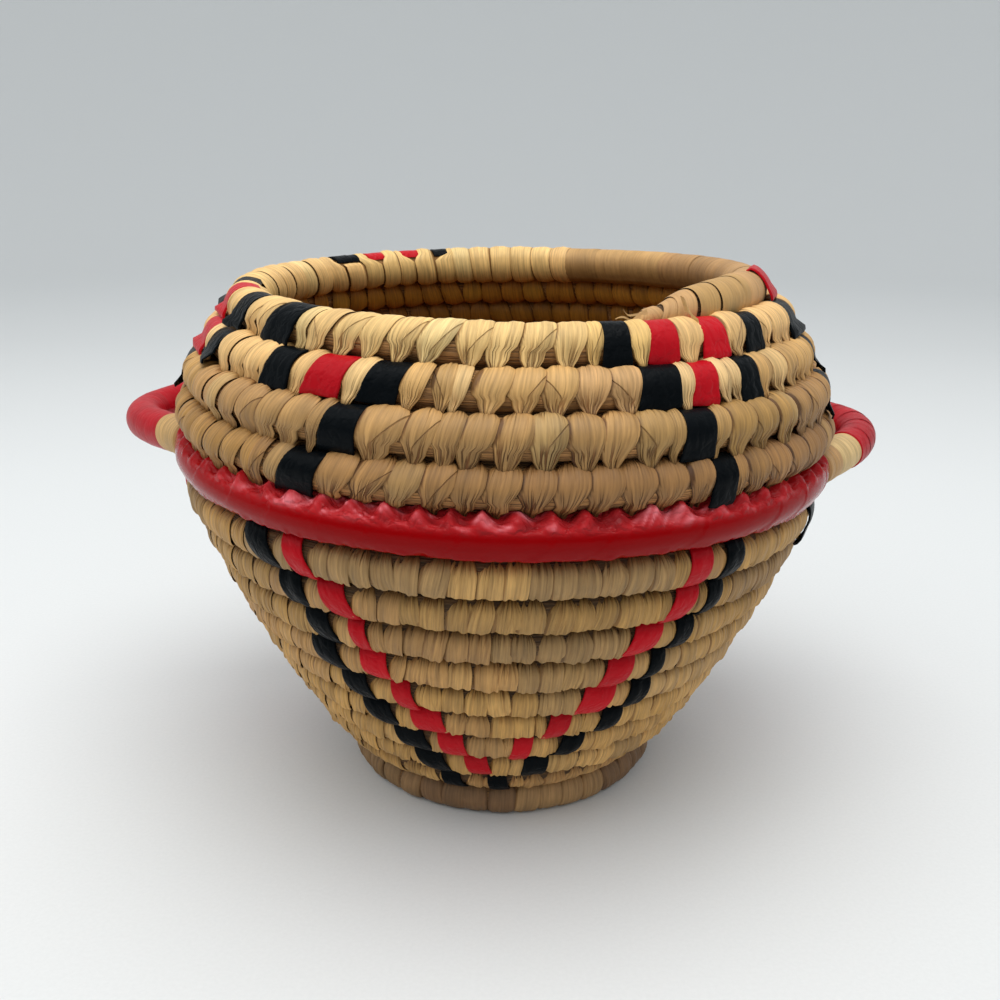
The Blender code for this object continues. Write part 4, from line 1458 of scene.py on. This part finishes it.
def build_wall(palm):
    """The nine courses below the belt. The one under the belt has greyer leaf and spans of two colours."""
    rng = np.random.default_rng(11)
    courses = spaced_courses(rng, -0.5, BELT_COURSE - 0.5, WALL_PITCH)
    widths = widths_between(courses)
    room = make_room(courses, widths, both_colours(WALL_COURSES))
    palette = (YELLOW_TAN, GREY_TAN, TAN, STRAW)
    for number in range(BELT_COURSE):
        part = from_to(courses, number - 0.5, number + 0.5)
        top_course = number == BELT_COURSE - 1
        grey = 0.48 if top_course else 0.18
        colours = palm_colours(rng, part.sum(), palette, (0.72 - grey, grey, 0.16, 0.12))
        if top_course:
            around = 360 * turns_from_front(courses[part])
            for colour, low, high in TOP_COURSE_SPANS:
                span = (around > low) & (around < high)
                colours[span] = colour * rng.uniform(0.92, 1.08, (span.sum(), 1))
        colours = colours * WALL_TONES[number] * WALL_HUE
        strips = wall_strips(rng, courses[part], widths[part], room=[values[part] for values in room])
        node = f"wall_course_{number + 1}"
        strips.piece(node + "_strips", colours, palm, node, slot="palm_strip")


def build_base(palm):
    rng = np.random.default_rng(13)
    courses = spaced_courses(rng, START_COURSE, -0.5, WALL_PITCH)
    strips = wall_strips(rng, courses, widths_between(courses), ragged=0.3)
    colours = palm_colours(rng, len(courses), (YELLOW_TAN, TAN, BROWN_TAN), (0.5, 0.3, 0.2)) * 0.85
    strips.piece("base_spiral_strips", colours, palm, "base_spiral", slot="palm_strip")


KNOT_FOLDS = 9


def build_start_knot(palm):
    """The tight start of the coil: a small gathered knot in the middle of the base."""
    turn = np.linspace(0, 2 * np.pi, 73)[None, :]
    rise = np.linspace(-np.pi / 2, np.pi / 2, 13)[:, None]
    fold = np.cos(KNOT_FOLDS * turn + 1.5 * rise)
    near = float(along_table("radius", START_COURSE)) - COIL_RADIUS * THIN_SHARE
    far = float(along_table("radius", START_COURSE + 0.5)) - COIL_RADIUS * THIN_SHARE
    middle = (near - far) / 2
    radius = 0.96 * (near + far) / 2 * (1 + 0.08 * fold * np.cos(rise))
    facing = 2 * math.pi * START_COURSE
    x = AXIS_X - middle * math.sin(facing) + radius * np.cos(rise) * np.cos(turn)
    y = -middle * math.cos(facing) + radius * np.cos(rise) * np.sin(turn)
    z = BASE_HEIGHT + radius * np.sin(rise)
    points = np.stack([x, y, z], -1)[None]
    u, v = np.broadcast_arrays(turn * near * MILLIMETRES, rise * near * MILLIMETRES)
    # Painted shade: the hollows between the gathers are darker and their ridges lighter
    tint = BROWN_TAN * (0.55 + 0.15 * fold)[None, ..., None]
    mesh = grid_mesh("base_start_knot_gathers", points, np.stack([u, v], -1)[None], tint)
    new_object("base_start_knot_gathers", mesh, palm, "base_start_knot", slot="dark_palm_strip")


# The rows of a foot strip
FOOT_LOW = (-120, -105, -90, -75, -60, -45, -30, -15, 0, 15, 30, 45)
FOOT_HIGH = (58, 70, 82, 95, 110, 130, 150, 170, 190, 210, 225)
FOOT_ARC = np.array(FOOT_LOW + FOOT_HIGH)


def build_foot(palm):
    """Wide strips over the foot ring, each pinched a little where it goes up into the base."""
    rng = np.random.default_rng(19)
    count = round(2 * math.pi * FOOT_RADIUS / FOOT_PITCH)
    turns = (np.arange(count) + rng.uniform(-0.10, 0.10, count)) / count
    widths = 2 * math.pi * FOOT_RADIUS / count * rng.uniform(0.96, 1.06, count)
    facing, outs, ups = arc_rows(FOOT_ARC, FOOT_SECTION_RADIUS - 0.0001)
    shares = 1.05 - 0.35 * step_up(FOOT_ARC, 35, 75) * (1 - step_up(FOOT_ARC, 95, 130))
    strips = Strips(rng, turns, widths, facing, np.tile(outs, (count, 1)), np.tile(ups, (count, 1)), shares)
    strips.lift += strips.folds(0.00010)
    strips.lift += 0.0006 * (1 - np.abs(strips.across) ** 4 - 0.95)
    strips.lift += strips.each(-0.0002, 0.0002)
    strips.sway = -rng.normal(0.0, 0.05, (count, 1)) * np.sin(facing)
    strips.shade *= edge_shade(strips.across, 0.35, 0.45)
    strips.shade *= (1 - 0.45 * step_up(FOOT_ARC, 40, 80))[None, :, None]
    colours = palm_colours(rng, count, (BROWN_TAN, YELLOW_TAN, TAN), (0.6, 0.2, 0.2)) * 0.68
    path = {"place": foot_place, "turn": 2 * np.pi * FOOT_RADIUS}
    strips.piece("foot_ring_strips", colours, palm, "foot_ring", slot="dark_palm_strip", **path)


# Room, lights and camera
CAMERA_LENS = 38.025
CAMERA_SHIFT_X = -0.00365
CAMERA_BACK = 0.3189
CAMERA_HEIGHT = 0.18638
CAMERA_PITCH = 17.92
CAMERA_ROLL = 0.41


def build_camera():
    data = bpy.data.cameras.new("camera")
    data.lens = CAMERA_LENS
    data.sensor_width = 36.0
    data.shift_x = CAMERA_SHIFT_X
    data.clip_start = 0.01
    camera = bpy.data.objects.new("camera", data)
    tilt = Matrix.Rotation(math.radians(90 - CAMERA_PITCH), 4, "X")
    roll = Matrix.Rotation(math.radians(CAMERA_ROLL), 4, "Z")
    camera.matrix_world = Matrix.Translation((AXIS_X, -CAMERA_BACK, CAMERA_HEIGHT)) @ tilt @ roll
    bpy.context.scene.collection.objects.link(camera)
    bpy.context.scene.camera = camera


FLOOR_RADIUS = 1.5
ROOM_BEND = 0.9
ROOM_TOP = 0.95


def build_room():
    """A pale floor that curves up into a wall all round, far enough out for the camera to stand inside."""
    turns = np.linspace(0, 2 * np.pi, 97)[:-1]
    profile = [(0.0001, 0.0)]
    profile += [(FLOOR_RADIUS * share, 0.0) for share in (0.2, 0.4, 0.6, 0.8, 1.0)]
    for angle in np.radians(np.arange(6, 91, 6)):
        profile.append((FLOOR_RADIUS + ROOM_BEND * math.sin(angle), ROOM_BEND * (1 - math.cos(angle))))
    profile.append((FLOOR_RADIUS + ROOM_BEND, ROOM_TOP))
    vertices = [(r * math.cos(t), r * math.sin(t), z) for r, z in profile for t in turns]
    count = len(turns)
    faces = []
    for row in range(len(profile) - 1):
        for column in range(count):
            following = (column + 1) % count
            low = row * count
            faces.append((low + column, low + following, low + count + following, low + count + column))
    mesh = bpy.data.meshes.new("floor")
    mesh.from_pydata(vertices, [], faces)
    mesh.shade_smooth()
    floor = bpy.data.objects.new("floor", mesh)
    bpy.context.scene.collection.objects.link(floor)
    mesh.materials.append(paper_material())


def paper_material():
    """Pale paper with a faint grain, a little greyer behind and towards the viewer."""
    look = Look("paper", 0.7)
    place = look.node("TexCoord", {}).outputs["Object"]
    grain = look.ramp(look.noise(place, 900.0, 2.0), 0.985, 1.015, 0.3, 0.7)
    depth = look.node("SeparateXYZ", {0: place}).outputs["Y"]
    behind = look.ramp(depth, 1.0, 0.92, 0.3, 0.8)
    in_front = look.ramp(depth, 0.42, 1.0, -0.9, -0.12)
    tone = look.maths("MULTIPLY", grain, look.maths("MULTIPLY", behind, in_front))
    look.surface(Base_Color=look.scaled(tuple(linear(228, 230, 230)), tone), Specular_IOR_Level=0.25)
    return look.material


def area_light(name, place, target, size, power, colour):
    data = bpy.data.lights.new(name, "AREA")
    data.shape = "SQUARE"
    data.size = size
    data.energy = power
    data.color = colour
    light = bpy.data.objects.new(name, data)
    aim = Vector(target) - Vector(place)
    light.matrix_world = Matrix.Translation(place) @ aim.to_track_quat("-Z", "Y").to_matrix().to_4x4()
    bpy.context.scene.collection.objects.link(light)


def build_lights():
    world = bpy.data.worlds.new("soft_sky")
    bpy.context.scene.world = world
    world.use_nodes = True
    background = world.node_tree.nodes["Background"]
    background.inputs["Color"].default_value = (0.93, 0.97, 1.0, 1.0)
    background.inputs["Strength"].default_value = 0.73
    area_light("top_light", (0.05, -0.20, 1.30), (0, 0, 0.08), 1.1, 10.6, (1.0, 0.98, 0.95))
    area_light("left_light", (-0.60, -0.30, 0.80), (0, 0, 0.10), 0.5, 1.0, (1.0, 0.99, 0.97))
    bpy.context.scene.view_settings.view_transform = "Standard"


def main():
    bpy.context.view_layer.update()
    palm = palm_material("palm_strip_look")
    dark_palm = palm_material("dark_palm_strip_look")
    core = core_material()
    smooth_palm = palm_material("gathered_palm_look", 0.8, 0.6)
    wound_palm = palm_material("wound_palm_look", 0.40, 0.4)
    belt_red = plastic_material("belt_red_film", 0.15, 1.0, 1.19, mottle=0.25)
    red = plastic_material("red_film", 0.36, 0.32, 1.22, mottle=0.5)
    black = plastic_material("black_film", 0.32, 0.30, 1.13, mottle=0.5)
    build_core(core)
    build_web(core)
    tips = build_shoulder(smooth_palm)
    build_wall(palm)
    build_base(palm)
    build_start_knot(dark_palm)
    build_foot(dark_palm)
    build_tail(wound_palm, core)
    build_belt(belt_red, tips)
    for side in HANDLES:
        build_handle(side, palm, red)
    build_stitches(red, black)
    build_camera()
    build_room()
    build_lights()


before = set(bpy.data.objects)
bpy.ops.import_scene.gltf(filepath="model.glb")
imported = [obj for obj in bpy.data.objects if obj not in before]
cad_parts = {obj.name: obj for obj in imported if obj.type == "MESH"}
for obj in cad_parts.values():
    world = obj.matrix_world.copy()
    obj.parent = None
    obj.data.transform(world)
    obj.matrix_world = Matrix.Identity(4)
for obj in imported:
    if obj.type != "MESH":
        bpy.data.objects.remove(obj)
main()
